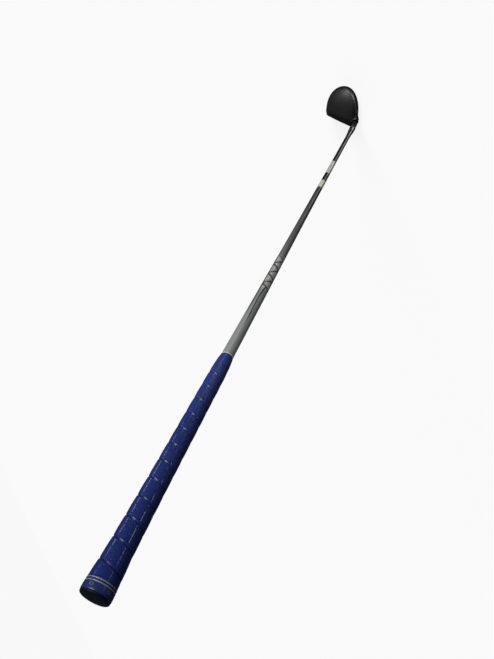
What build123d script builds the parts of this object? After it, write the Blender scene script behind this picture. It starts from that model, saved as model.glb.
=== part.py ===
from build123d import *
from math import cos, sin, tan, radians, pi
import os

os.makedirs("parts", exist_ok=True)

# ---------------------------------------------------------------- driving dimensions (mm, degrees)
LIE = 57.9                  # angle between the shaft's axis and the ground
LOFT = 21.0                 # angle of the face from vertical
LENGTH = 1041.0             # along the axis, from its lowest point to the grip's butt edge
AXIS_X, AXIS_Y, AXIS_Z = -36.65, 19.75, 0.85   # lowest point of the shaft's axis, just above the ground

# head
TOE_X, HEEL_X = 41.5, -45.3    # rim at its widest
BACK_Y = -42.35                # rim at its deepest
LEAD_Y = 35.7                  # leading edge, carried down to the ground
RIM_Z, CROWN_Z = 14.6, 37.0    # height of the rim and of the crown's top
APEX_X = -3.3                  # where the back of the rim is deepest
WALL = 2.2                     # body wall
CROWN_T = 1.3                  # crown thickness
FACE_T = 2.6                   # face plate thickness
BAND = 9.5                     # front band of the body, from the face to the crown shell
SKIRT = 3.2                    # rim of the body left round the crown shell

# hosel, adapter and screw (distances along the axis, from its lowest point)
HOSEL_TOP = 47.0
HOSEL_R = 6.3
BORE_R = 5.01
SLEEVE_R = 4.95
SLEEVE_END = 14.0
SLEEVE_TOP = 71.0
COLLAR_R1, COLLAR_R2 = 6.1, 5.6
TIP_S = 30.0                   # shaft tip inside the adapter
SEAT_S = 10.0                  # seat of the screw's washer
SCREW_R = 2.5                  # M5
PITCH = 0.8
SOCKET_R = 1.55

# shaft: (distance along the axis, outer radius)
TIP_R = 4.25
SHAFT_OD = [(TIP_S, 4.25), (241.0, 4.25), (300.0, 4.42), (444.0, 4.90),
            (550.0, 5.45), (661.0, 6.33), (779.0, 7.05), (1036.0, 7.60)]
SHAFT_ID = [(TIP_S, 2.55), (241.0, 2.75), (444.0, 3.70), (661.0, 5.20), (779.0, 5.95), (1036.0, 6.55)]

# grip: (distance along the axis, outer radius)
MOUTH_S = 778.5
COLLAR_S = 791.0
WRAP_TOP = 1033.8
GRIP_OD = [(791.0, 8.55), (804.0, 8.85), (818.0, 9.05), (855.0, 9.28), (878.0, 9.48), (900.0, 9.62),
           (920.0, 9.82), (940.0, 9.98), (958.0, 10.22), (975.0, 10.48), (991.0, 10.78),
           (1006.0, 11.05), (1013.4, 11.38), (1020.6, 11.80), (1027.5, 12.22), (1033.8, 12.62)]
UNDER_OD = [(791.0, 7.72), (818.0, 7.95), (878.0, 8.35), (940.0, 8.85), (991.0, 9.55),
            (1013.4, 10.10), (1033.8, 11.20)]
TAPE_T = 0.15

# sole weight
WEIGHT_X, WEIGHT_Y = 4.0, -23.0
WEIGHT_R, WEIGHT_T = 8.6, 4.6
WEIGHT_Z = 1.6                  # lowest face of the weight

# ---------------------------------------------------------------- frames
foot = Vector(AXIS_X, AXIS_Y, AXIS_Z)
up = Vector(-cos(radians(LIE)), 0, sin(radians(LIE)))       # from the head to the grip
side = Vector(sin(radians(LIE)), 0, cos(radians(LIE)))
axis_line = Axis(foot, up)
profile = Plane(origin=foot, x_dir=side, z_dir=(0, -1, 0))  # x is the radius, y runs up the axis


def along(s):
    """Plane across the shaft's axis at distance s from the ground."""
    return Plane(origin=foot + up * s, x_dir=side, z_dir=up)


def turned(outer, inner):
    """Closed half profile from an outer and an inner list of (distance, radius)."""
    pts = [(r, s) for s, r in outer] + [(r, s) for s, r in reversed(inner)]
    return pts


# ---------------------------------------------------------------- head rings
RING_T = [2 * pi * k / 20 for k in range(20)]


def ring(z, inset=0.0, front=0.0):
    """Closed outline of the head at height z, inset all round; front moves its front edge."""
    if z <= RIM_Z:
        t = 0.963 * (RIM_Z - z) / RIM_Z
        rho = (1 - t ** 2.6) ** (1 / 2.6)
    else:
        t = (z - RIM_Z) / (CROWN_Z - RIM_Z)
        rho = (1 - t ** 1.8) ** (1 / 1.8)
    cx, cy = APEX_X + 4.0, 2.0
    toe = cx + rho * (TOE_X - cx) - inset
    heel = cx + rho * (HEEL_X - cx) + inset
    back = cy + rho * (BACK_Y - cy) + inset
    fwd = cy + rho ** 0.92 * (LEAD_Y + 12.0 - cy) - inset - front
    xa = APEX_X + 4.0 * (1 - rho)
    yt = cy + rho * (5.0 - cy)
    yh = cy + rho * (14.0 - cy)
    pts = []
    for a in RING_T:
        c, s = cos(a), sin(a)
        half = (toe - xa) if c >= 0 else (xa - heel)
        n = (3.0 if c >= 0 else 2.5) if s >= 0 else 2.0
        w = abs(c) ** 1.5
        ym = (yt if c >= 0 else yh) * w + (yt + yh) / 2 * (1 - w)
        depth = (fwd - ym) if s >= 0 else (ym - back)
        x = xa + (1 if c >= 0 else -1) * half * abs(c) ** (2 / n)
        y = ym + (1 if s >= 0 else -1) * depth * abs(s) ** (2 / n)
        pts.append((x, y))
    return pts


LOWER = (-0.5, 0.0, 1.2, 3.5, 7.5, 12.0)
UPPER = (17.0, 22.0, 26.5, 30.5, 33.5, 35.5, 36.6)


def heights(inset):
    """Ring heights, moved inwards from the sole and from the crown by the wall."""
    rows = []
    for z in LOWER + UPPER:
        if z < RIM_Z:
            rows.append((z, z + inset * (RIM_Z - z) / RIM_Z))
        else:
            rows.append((z, z - inset * (z - RIM_Z) / (CROWN_Z - RIM_Z)))
    return rows


face_plane = Plane(origin=(0, LEAD_Y, 0), x_dir=(-1, 0, 0), z_dir=(0, cos(radians(LOFT)), sin(radians(LOFT))))
inner_face = face_plane.offset(-FACE_T)

# full outer form of the head, without its hosel
with BuildPart() as form:
    for z, zz in heights(0.0):
        with BuildSketch(Plane.XY.offset(zz)):
            with BuildLine():
                Spline(*ring(z), periodic=True)
            make_face()
    loft()
    split(bisect_by=Plane.XY, keep=Keep.TOP)
    split(bisect_by=face_plane, keep=Keep.BOTTOM)

# hollow of the body
with BuildPart() as hollow:
    for z, zz in heights(WALL)[1:]:
        with BuildSketch(Plane.XY.offset(zz)):
            with BuildLine():
                Spline(*ring(z, WALL), periodic=True)
            make_face()
    loft()
    split(bisect_by=inner_face, keep=Keep.BOTTOM)

# underside of the crown shell
with BuildPart() as under_crown:
    for z, zz in heights(CROWN_T)[4:]:
        with BuildSketch(Plane.XY.offset(zz)):
            with BuildLine():
                Spline(*ring(z, CROWN_T), periodic=True)
            make_face()
    loft()

# underside of the ledge that the crown shell is bonded to
with BuildPart() as under_ledge:
    for z, zz in heights(CROWN_T + 1.4)[4:]:
        with BuildSketch(Plane.XY.offset(zz)):
            with BuildLine():
                Spline(*ring(z, CROWN_T + 1.4), periodic=True)
            make_face()
    loft()

# plan outline of the crown shell
CROWN_FRONT = LEAD_Y - 33.5 * tan(radians(LOFT)) - BAND


def crown_plan(inset):
    pts = []
    for x, y in ring(19.0, SKIRT + inset):
        pts.append((x, y))
    return pts


with BuildPart() as crown_prism:
    with BuildSketch(Plane.XY.offset(17.0)):
        with BuildLine():
            Spline(*crown_plan(0.0), periodic=True)
        make_face()
        with Locations((0, CROWN_FRONT + 50)):
            Rectangle(200, 100, mode=Mode.SUBTRACT)
    extrude(amount=40)
    fillet(crown_prism.edges().filter_by(Axis.Z).group_by(Axis.Y)[-1], 5.0)

with BuildPart() as ledge_prism:
    with BuildSketch(Plane.XY.offset(17.0)):
        with BuildLine():
            Spline(*crown_plan(4.0), periodic=True)
        make_face()
        with Locations((0, CROWN_FRONT - 4.0 + 50)):
            Rectangle(200, 100, mode=Mode.SUBTRACT)
    extrude(amount=40)

# ---------------------------------------------------------------- crown shell
with BuildPart() as crown_shell:
    add(form.part)
    add(crown_prism.part, mode=Mode.INTERSECT)
    add(under_crown.part, mode=Mode.SUBTRACT)
crown_shell.part.label = "crown_shell"

# ---------------------------------------------------------------- face plate
FACE_CX, FACE_CZ, FACE_HX, FACE_HZ = -1.5, 17.6, 32.0, 11.6


def face_outline(grow=0.0):
    pts = []
    for k in range(24):
        a = 2 * pi * k / 24
        c, s = cos(a), sin(a)
        x = FACE_CX + (FACE_HX + grow) * (1 if c >= 0 else -1) * abs(c) ** (2 / 2.6)
        z = FACE_CZ + (FACE_HZ + grow) * (1 if s >= 0 else -1) * abs(s) ** (2 / 2.6)
        pts.append((-x, z / cos(radians(LOFT))))
    return pts


with BuildPart() as face_plate:
    with BuildSketch(face_plane):
        with BuildLine():
            Spline(*face_outline(), periodic=True)
        make_face()
    extrude(amount=-FACE_T)
    # scoring lines
    with BuildSketch(face_plane):
        for k in range(6):
            with Locations((1.5, (9.5 + 3.2 * k) / cos(radians(LOFT)))):
                SlotOverall(44.0 if k else 36.0, 0.9)
    extrude(amount=-0.45, mode=Mode.SUBTRACT)
face_plate.part.label = "face_plate"

# ---------------------------------------------------------------- sole weight frame
weight_plane = Plane(origin=(WEIGHT_X, WEIGHT_Y, 1.25), x_dir=(1, 0, 0),
                     z_dir=(0, -sin(radians(10)), -cos(radians(10))))

# ---------------------------------------------------------------- head body
with BuildPart() as neck:
    with BuildSketch(profile):
        with BuildLine():
            Polyline((0, 3), (5.3, 3), (5.7, 10), (6.4, 20), (6.6, 28), (HOSEL_R, 37), (HOSEL_R, HOSEL_TOP - 0.6),
                     (HOSEL_R - 0.6, HOSEL_TOP), (0, HOSEL_TOP), close=True)
        make_face()
    revolve(axis=axis_line, revolution_arc=360)
    split(bisect_by=Plane.XY.offset(1.6), keep=Keep.TOP)

with BuildPart() as hosel_column:
    with BuildSketch(profile):
        with BuildLine():
            Polyline((0, 1), (5.3, 1), (5.7, 10), (HOSEL_R, 20), (HOSEL_R, 40), (0, 40), close=True)
        make_face()
    revolve(axis=axis_line, revolution_arc=360)
    split(bisect_by=Plane.XY.offset(1.6), keep=Keep.TOP)

with BuildPart() as casting:
    add(form.part)
    add(neck.part)
    add(hollow.part, mode=Mode.SUBTRACT)
    add(hosel_column.part)
    # boss for the sole weight
    with BuildSketch(weight_plane.offset(-9.6)):
        Circle(WEIGHT_R + 2.0)
    extrude(amount=8.0)
    # opening under the crown shell, with its ledge
    add(crown_prism.part, mode=Mode.SUBTRACT)
with BuildPart() as ledge:
    add(under_crown.part)
    add(under_ledge.part, mode=Mode.SUBTRACT)
    add(crown_prism.part, mode=Mode.INTERSECT)
    add(ledge_prism.part, mode=Mode.SUBTRACT)
with BuildPart() as head_body:
    add(casting.part)
    add(ledge.part)
    # seat of the face plate
    with BuildSketch(face_plane.offset(0.5)):
        with BuildLine():
            Spline(*face_outline(), periodic=True)
        make_face()
    extrude(amount=-(FACE_T + 1.5), mode=Mode.SUBTRACT)
    # bore for the adapter, passage and counterbore for its screw
    with BuildSketch(profile):
        with BuildLine():
            Polyline((0, -12), (4.1, -12), (4.1, SEAT_S), (2.7, SEAT_S), (2.7, SLEEVE_END - 0.8),
                     (BORE_R, SLEEVE_END - 0.8), (BORE_R, HOSEL_TOP - 0.5), (BORE_R + 0.5, HOSEL_TOP),
                     (BORE_R + 0.5, HOSEL_TOP + 1), (0, HOSEL_TOP + 1), close=True)
        make_face()
    revolve(axis=axis_line, revolution_arc=360, mode=Mode.SUBTRACT)
    # recess and threaded hole for the weight
    with BuildSketch(weight_plane.offset(6.0)):
        Circle(WEIGHT_R + 0.3)
    extrude(amount=-(6.0 + WEIGHT_T + 0.3), mode=Mode.SUBTRACT)
    with BuildSketch(weight_plane):
        Circle(2.06)
    extrude(amount=-8.6, mode=Mode.SUBTRACT)
head_body.part.label = "head_body"

# ---------------------------------------------------------------- adapter, screw and washer
with BuildPart() as hosel_sleeve:
    with BuildSketch(profile):
        with BuildLine():
            Polyline((2.55, SLEEVE_END), (SLEEVE_R - 0.5, SLEEVE_END), (SLEEVE_R, SLEEVE_END + 0.5),
                     (SLEEVE_R, HOSEL_TOP + 0.1), (COLLAR_R1 - 0.3, HOSEL_TOP + 0.1), (COLLAR_R1, HOSEL_TOP + 0.5),
                     (COLLAR_R1, HOSEL_TOP + 3.0), (COLLAR_R2, SLEEVE_TOP - 0.5), (COLLAR_R2 - 0.5, SLEEVE_TOP),
                     (TIP_R, SLEEVE_TOP), (TIP_R, TIP_S), (2.55, TIP_S), close=True)
        make_face()
    revolve(axis=axis_line, revolution_arc=360)
hosel_sleeve.part.label = "hosel_sleeve"

with BuildPart() as screw_washer:
    with BuildSketch(along(SEAT_S - 1.0)):
        Circle(4.05)
        Circle(2.7, mode=Mode.SUBTRACT)
    extrude(amount=1.0)
    chamfer(screw_washer.edges().group_by(axis_line)[0], 0.15)
screw_washer.part.label = "screw_washer"

with BuildPart() as hosel_screw:
    with BuildSketch(profile):
        with BuildLine():
            Polyline((0, 5.0), (3.0, 5.0), (3.4, 5.4), (3.4, SEAT_S - 1.05), (SCREW_R, SEAT_S - 1.05),
                     (SCREW_R, 23.9), (SCREW_R - 0.6, 24.5), (0, 24.5), close=True)
        make_face()
    revolve(axis=axis_line, revolution_arc=360)
    with BuildSketch(along(5.0)):
        RegularPolygon(SOCKET_R + 0.5, 6)
    extrude(amount=2.2, mode=Mode.SUBTRACT)
hosel_screw.part.label = "hosel_screw"

# ---------------------------------------------------------------- sole weight and its screw
with BuildPart() as sole_weight:
    with BuildSketch(weight_plane):
        Circle(WEIGHT_R)
    extrude(amount=-WEIGHT_T)
    with BuildSketch(weight_plane):
        Circle(3.5)
    extrude(amount=-2.4, mode=Mode.SUBTRACT)
    with BuildSketch(weight_plane):
        Circle(2.15)
    extrude(amount=-WEIGHT_T, mode=Mode.SUBTRACT)
sole_weight.part.label = "sole_weight"

with BuildPart() as weight_screw:
    with BuildSketch(weight_plane.offset(-0.4)):
        Circle(3.3)
    extrude(amount=-1.95)
    with BuildSketch(weight_plane.offset(-2.3)):
        Circle(2.0)
    extrude(amount=-6.0)
    with BuildSketch(weight_plane.offset(-0.4)):
        RegularPolygon(1.75, 6)
    extrude(amount=-1.6, mode=Mode.SUBTRACT)
weight_screw.part.label = "weight_screw"

# ---------------------------------------------------------------- shaft and what is on it
def radius_at(table, s):
    for (s0, r0), (s1, r1) in zip(table, table[1:]):
        if s <= s1:
            return r0 + (r1 - r0) * (s - s0) / (s1 - s0)
    return table[-1][1]


with BuildPart() as shaft:
    with BuildSketch(profile):
        with BuildLine():
            Polyline(*turned(SHAFT_OD, SHAFT_ID), close=True)
        make_face()
    revolve(axis=axis_line, revolution_arc=360)
shaft.part.label = "shaft"

with BuildPart() as tip_plug:
    with BuildSketch(along(TIP_S)):
        Circle(2.5)
    extrude(amount=12.0)
    fillet(tip_plug.edges().group_by(axis_line)[-1], 0.8)
tip_plug.part.label = "tip_plug"

with BuildPart() as ferrule:
    with BuildSketch(profile):
        with BuildLine():
            l1 = Spline((5.30, 72.0), (4.95, 79.0), (4.60, 89.0), (4.33, 101.0))
            Polyline((4.33, 101.0), (TIP_R + 0.01, 101.0), (TIP_R + 0.01, SLEEVE_TOP + 0.05),
                     (5.05, SLEEVE_TOP + 0.05), (5.30, SLEEVE_TOP + 0.35), (5.30, 72.0))
        make_face()
    revolve(axis=axis_line, revolution_arc=360)
ferrule.part.label = "ferrule"


def band(s0, s1, t):
    """Thin band round the shaft from s0 to s1."""
    knots = [s0] + [k for k, r in SHAFT_OD if s0 < k < s1] + [s1]
    outer = [(k, radius_at(SHAFT_OD, k) + t) for k in knots]
    inner = [(k, radius_at(SHAFT_OD, k)) for k in knots]
    return turned(outer, inner)


with BuildPart() as shaft_band_upper:
    with BuildSketch(profile):
        with BuildLine():
            Polyline(*band(318.0, 345.0, 0.12), close=True)
        make_face()
    revolve(axis=axis_line, revolution_arc=360)
shaft_band_upper.part.label = "shaft_band_upper"

with BuildPart() as shaft_band_lower:
    with BuildSketch(profile):
        with BuildLine():
            Polyline(*band(234.0, 286.0, 0.12), close=True)
        make_face()
    revolve(axis=axis_line, revolution_arc=360)
shaft_band_lower.part.label = "shaft_band_lower"

with BuildPart() as finishing_tape:
    with BuildSketch(profile):
        with BuildLine():
            Polyline(*band(MOUTH_S - 2.4, MOUTH_S - 0.05, 0.25), close=True)
        make_face()
    revolve(axis=axis_line, revolution_arc=360)
finishing_tape.part.label = "finishing_tape"

# ---------------------------------------------------------------- grip
with BuildPart() as grip_tape:
    with BuildSketch(profile):
        with BuildLine():
            Polyline(*band(COLLAR_S, 1033.0, TAPE_T), close=True)
        make_face()
    revolve(axis=axis_line, revolution_arc=360)
grip_tape.part.label = "grip_tape"

under_in = [(k, radius_at(SHAFT_OD, k) + TAPE_T + 0.01) for k in (COLLAR_S, WRAP_TOP)]
with BuildPart() as grip_underlisting:
    with BuildSketch(profile):
        with BuildLine():
            Polyline(*turned(UNDER_OD, under_in), close=True)
        make_face()
    revolve(axis=axis_line, revolution_arc=360)
grip_underlisting.part.label = "grip_underlisting"

with BuildPart() as grip_wrap:
    with BuildSketch(profile):
        with BuildLine():
            Polyline(*turned(GRIP_OD, UNDER_OD), close=True)
        make_face()
    revolve(axis=axis_line, revolution_arc=360)
grip_wrap.part.label = "grip_wrap"

with BuildPart() as grip_collar:
    with BuildSketch(profile):
        with BuildLine():
            Spline((7.45, MOUTH_S + 0.6), (7.85, MOUTH_S + 3.5), (8.25, MOUTH_S + 8.0), (8.55, COLLAR_S))
            Polyline((8.55, COLLAR_S), (radius_at(SHAFT_OD, COLLAR_S) + 0.01, COLLAR_S),
                     (radius_at(SHAFT_OD, MOUTH_S) + 0.01, MOUTH_S), (7.25, MOUTH_S), (7.45, MOUTH_S + 0.6))
        make_face()
    revolve(axis=axis_line, revolution_arc=360)
grip_collar.part.label = "grip_collar"

# ---------------------------------------------------------------- butt of the grip
RING_A, RING_B = 1034.7, 1036.9      # lower edges of the two trim rings
RING_W = 0.8
CAP_END = 1043.9                     # end of the cap's rim
DOME_END = 1046.6                    # top of the dark domed disc
VENT_R = 1.25

with BuildPart() as butt_cap:
    with BuildSketch(profile):
        with BuildLine():
            Polyline((VENT_R, 1036.6), (7.62, 1036.6), (7.62, WRAP_TOP + 0.05), (12.62, WRAP_TOP + 0.05),
                     (12.66, RING_A), (12.16, RING_A), (12.16, RING_A + RING_W), (12.70, RING_A + RING_W),
                     (12.78, RING_B), (12.28, RING_B), (12.28, RING_B + RING_W), (12.80, RING_B + RING_W),
                     (12.98, 1040.0), (12.98, 1042.7), (12.86, 1043.5), (12.66, CAP_END),
                     (11.6, CAP_END), (11.6, 1042.0), (VENT_R, 1042.0), close=True)
        make_face()
    revolve(axis=axis_line, revolution_arc=360)
butt_cap.part.label = "butt_cap"

with BuildPart() as cap_disc:
    with BuildSketch(profile):
        with BuildLine():
            Spline((12.62, CAP_END + 0.7), (12.3, CAP_END + 1.35), (11.5, CAP_END + 1.85), (7.0, DOME_END - 0.2),
                   (1.9, DOME_END), tangents=((0, 1), (-1, 0)))
            Polyline((1.9, DOME_END), (VENT_R, DOME_END - 0.65), (VENT_R, 1042.0), (11.55, 1042.0),
                     (11.55, CAP_END + 0.02), (12.62, CAP_END + 0.02), (12.62, CAP_END + 0.7))
        make_face()
    revolve(axis=axis_line, revolution_arc=360)
cap_disc.part.label = "cap_disc"


def trim_profile(s0, r_in, r_out):
    return [(r_in, s0), (r_out, s0), (r_out + 0.12, s0 + RING_W / 2), (r_out, s0 + RING_W), (r_in, s0 + RING_W)]


with BuildPart() as trim_ring_upper:
    with BuildSketch(profile):
        with BuildLine():
            Polyline(*trim_profile(RING_A, 12.16, 12.70), close=True)
        make_face()
    revolve(axis=axis_line, revolution_arc=360)
trim_ring_upper.part.label = "trim_ring_upper"

with BuildPart() as trim_ring_lower:
    with BuildSketch(profile):
        with BuildLine():
            Polyline(*trim_profile(RING_B, 12.28, 12.82), close=True)
        make_face()
    revolve(axis=axis_line, revolution_arc=360)
trim_ring_lower.part.label = "trim_ring_lower"

# ---------------------------------------------------------------- files
export_step(head_body.part, "parts/head_body.step")
export_step(crown_shell.part, "parts/crown_shell.step")
export_step(face_plate.part, "parts/face_plate.step")
export_step(hosel_sleeve.part, "parts/hosel_sleeve.step")
export_step(hosel_screw.part, "parts/hosel_screw.step")
export_step(screw_washer.part, "parts/screw_washer.step")
export_step(sole_weight.part, "parts/sole_weight.step")
export_step(weight_screw.part, "parts/weight_screw.step")
export_step(shaft.part, "parts/shaft.step")
export_step(tip_plug.part, "parts/tip_plug.step")
export_step(ferrule.part, "parts/ferrule.step")
export_step(shaft_band_upper.part, "parts/shaft_band_upper.step")
export_step(shaft_band_lower.part, "parts/shaft_band_lower.step")
export_step(finishing_tape.part, "parts/finishing_tape.step")
export_step(grip_tape.part, "parts/grip_tape.step")
export_step(grip_underlisting.part, "parts/grip_underlisting.step")
export_step(grip_wrap.part, "parts/grip_wrap.step")
export_step(grip_collar.part, "parts/grip_collar.step")
export_step(butt_cap.part, "parts/butt_cap.step")
export_step(cap_disc.part, "parts/cap_disc.step")
export_step(trim_ring_upper.part, "parts/trim_ring_upper.step")
export_step(trim_ring_lower.part, "parts/trim_ring_lower.step")
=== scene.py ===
import math

import bmesh
import bpy
import numpy as np
from mathutils import Matrix, Vector


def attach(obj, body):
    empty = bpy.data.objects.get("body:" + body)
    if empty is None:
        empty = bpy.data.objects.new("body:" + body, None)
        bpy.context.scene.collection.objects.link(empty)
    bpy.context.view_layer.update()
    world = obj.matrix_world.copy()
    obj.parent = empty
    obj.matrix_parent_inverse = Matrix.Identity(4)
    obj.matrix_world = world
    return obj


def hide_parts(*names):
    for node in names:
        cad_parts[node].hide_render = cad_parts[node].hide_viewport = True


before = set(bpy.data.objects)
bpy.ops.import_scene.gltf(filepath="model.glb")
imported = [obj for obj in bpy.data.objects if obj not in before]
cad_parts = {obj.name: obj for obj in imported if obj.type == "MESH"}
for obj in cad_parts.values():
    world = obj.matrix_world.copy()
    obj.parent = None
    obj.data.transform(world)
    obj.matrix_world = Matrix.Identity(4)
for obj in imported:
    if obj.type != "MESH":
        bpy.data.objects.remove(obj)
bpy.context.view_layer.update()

# ------------------------------------------------------------------ the club's own frame (metres)
LIE = math.radians(57.9)
LOFT = math.radians(21.0)
FOOT = np.array([-0.03665, 0.01975, 0.00085])
UP = np.array([-math.cos(LIE), 0.0, math.sin(LIE)])      # from the head to the grip
E1 = np.array([math.sin(LIE), 0.0, math.cos(LIE)])       # across the axis, towards the toe and up
E2 = np.array([0.0, 1.0, 0.0])                           # across the axis, towards the target


def on_axis(s_mm):
    return FOOT + UP * (s_mm * 1e-3)


def around(s_mm, r_mm, a):
    """Point at distance s along the axis, radius r, angle a."""
    s = np.asarray(s_mm, float)[..., None] * 1e-3
    r = np.asarray(r_mm, float)[..., None] * 1e-3
    a = np.asarray(a, float)[..., None]
    return FOOT + UP * s + (np.cos(a) * E1 + np.sin(a) * E2) * r


# ------------------------------------------------------------------ mesh helpers
def smooth(obj, angle=40.0):
    me = obj.data
    me.polygons.foreach_set("use_smooth", [True] * len(me.polygons))
    bm = bmesh.new()
    bm.from_mesh(me)
    lim = math.radians(angle)
    for e in bm.edges:
        if len(e.link_faces) == 2 and e.calc_face_angle(0.0) > lim:
            e.smooth = False
    bm.to_mesh(me)
    bm.free()
    me.update()


def add_mesh(name, verts, faces, mat=None, body="shaft_assembly", angle=40.0):
    me = bpy.data.meshes.new(name)
    me.from_pydata([tuple(v) for v in verts], [], faces)
    me.validate()
    me.update()
    ob = bpy.data.objects.new(name, me)
    bpy.context.scene.collection.objects.link(ob)
    smooth(ob, angle)
    if mat is not None:
        me.materials.append(mat)
    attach(ob, body)
    return ob


def grid_faces(rows, cols, wrap_rows=False):
    """Quads of a grid whose columns wrap round."""
    r = np.arange(rows if wrap_rows else rows - 1)[:, None]
    c = np.arange(cols)[None, :]
    r2 = (r + 1) % rows
    c2 = (c + 1) % cols
    f = np.stack([r * cols + c, r * cols + c2, r2 * cols + c2, r2 * cols + c], -1).reshape(-1, 4)
    return f.tolist()


def lathe(name, profile, mat, body="shaft_assembly", seg=128, closed=True, angle=35.0):
    """Ring of a closed (s, r) profile round the shaft's axis, listed so that it runs clockwise on (r, s)."""
    prof = np.array(profile, float)
    a = np.linspace(0, 2 * np.pi, seg, endpoint=False)
    V = around(prof[:, 0][:, None], prof[:, 1][:, None], np.broadcast_to(a, (len(prof), seg)))
    faces = grid_faces(len(prof), seg, wrap_rows=closed)
    ob = add_mesh(name, V.reshape(-1, 3), faces, mat, body, angle)
    fix_normals(ob)
    return ob


def fix_normals(ob):
    bm = bmesh.new()
    bm.from_mesh(ob.data)
    bmesh.ops.remove_doubles(bm, verts=bm.verts, dist=1e-7)
    bmesh.ops.recalc_face_normals(bm, faces=bm.faces)
    bm.to_mesh(ob.data)
    bm.free()
    ob.data.update()


def arc(p0, p1, bulge, n=6):
    """Points from p0 to p1 on a bulging curve."""
    p0, p1 = np.array(p0, float), np.array(p1, float)
    d = p1 - p0
    nrm = np.array([d[1], -d[0]])
    return [tuple(p0 + d * t + nrm * bulge * 4 * t * (1 - t)) for t in np.linspace(0, 1, n)]


# ------------------------------------------------------------------ material helpers
def material(name, color=(0.5, 0.5, 0.5), rough=0.5, metal=0.0, coat=0.0, coat_rough=0.1, spec=0.5):
    m = bpy.data.materials.new(name)
    m.use_nodes = True
    nt = m.node_tree
    b = nt.nodes["Principled BSDF"]
    b.inputs["Base Color"].default_value = (*color, 1)
    b.inputs["Roughness"].default_value = rough
    b.inputs["Metallic"].default_value = metal
    b.inputs["Coat Weight"].default_value = coat
    b.inputs["Coat Roughness"].default_value = coat_rough
    b.inputs["Specular IOR Level"].default_value = spec
    return m, nt, b


def node(nt, kind, **kw):
    n = nt.nodes.new(kind)
    for k, v in kw.items():
        setattr(n, k, v)
    return n


def math_node(nt, op, a, b=None, c=None, clamp=False):
    n = nt.nodes.new("ShaderNodeMath")
    n.operation = op
    n.use_clamp = clamp
    for i, v in enumerate((a, b, c)):
        if v is None:
            continue
        if isinstance(v, (int, float)):
            n.inputs[i].default_value = v
        else:
            nt.links.new(v, n.inputs[i])
    return n.outputs[0]


def ramp(nt, fac, stops, interp="LINEAR"):
    r = nt.nodes.new("ShaderNodeValToRGB")
    r.color_ramp.interpolation = interp
    els = r.color_ramp.elements
    while len(els) > 1:
        els.remove(els[-1])
    els[0].position = stops[0][0]
    els[0].color = (*stops[0][1], 1)
    for p, c in stops[1:]:
        e = els.new(p)
        e.color = (*c, 1)
    nt.links.new(fac, r.inputs[0])
    return r.outputs[0]


def mix(nt, fac, a, b):
    n = nt.nodes.new("ShaderNodeMix")
    n.data_type = "RGBA"
    if isinstance(fac, (int, float)):
        n.inputs[0].default_value = fac
    else:
        nt.links.new(fac, n.inputs[0])
    for sock, v in ((n.inputs[6], a), (n.inputs[7], b)):
        if isinstance(v, tuple):
            sock.default_value = (*v, 1)
        else:
            nt.links.new(v, sock)
    return n.outputs[2]


def axis_coords(nt):
    """Distance along the axis in mm, and the angle round it in turns, from object coordinates."""
    tc = node(nt, "ShaderNodeTexCoord")
    sub = node(nt, "ShaderNodeVectorMath", operation="SUBTRACT")
    nt.links.new(tc.outputs["Object"], sub.inputs[0])
    sub.inputs[1].default_value = tuple(FOOT)

    def dot(vec):
        d = node(nt, "ShaderNodeVectorMath", operation="DOT_PRODUCT")
        nt.links.new(sub.outputs[0], d.inputs[0])
        d.inputs[1].default_value = tuple(vec)
        return d.outputs["Value"]

    s = math_node(nt, "MULTIPLY", dot(UP), 1000.0)
    x = dot(E1)
    y = dot(E2)
    a = math_node(nt, "ARCTAN2", y, x)
    turns = math_node(nt, "DIVIDE", a, 2 * math.pi)
    return s, turns, tc.outputs["Object"]


def noise(nt, vec, scale, detail=3.0, rough=0.5):
    n = node(nt, "ShaderNodeTexNoise")
    n.inputs["Scale"].default_value = scale
    n.inputs["Detail"].default_value = detail
    n.inputs["Roughness"].default_value = rough
    nt.links.new(vec, n.inputs["Vector"])
    return n.outputs["Fac"]


def bump(nt, bsdf, height, strength=0.3, dist=0.0005, sock="Normal"):
    b = node(nt, "ShaderNodeBump")
    b.inputs["Strength"].default_value = strength
    b.inputs["Distance"].default_value = dist
    nt.links.new(height, b.inputs["Height"])
    nt.links.new(b.outputs[0], bsdf.inputs[sock])
    return b


def smoothstep(nt, v, lo, hi):
    n = node(nt, "ShaderNodeMapRange", interpolation_type="SMOOTHSTEP")
    nt.links.new(v, n.inputs["Value"])
    n.inputs["From Min"].default_value = lo
    n.inputs["From Max"].default_value = hi
    n.inputs["To Min"].default_value = 0.0
    n.inputs["To Max"].default_value = 1.0
    return n.outputs["Result"]


def set_mat(node_name, mat):
    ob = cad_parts[node_name]
    ob.data.materials.clear()
    ob.data.materials.append(mat)
    for p in ob.data.polygons:
        p.material_index = 0


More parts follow.
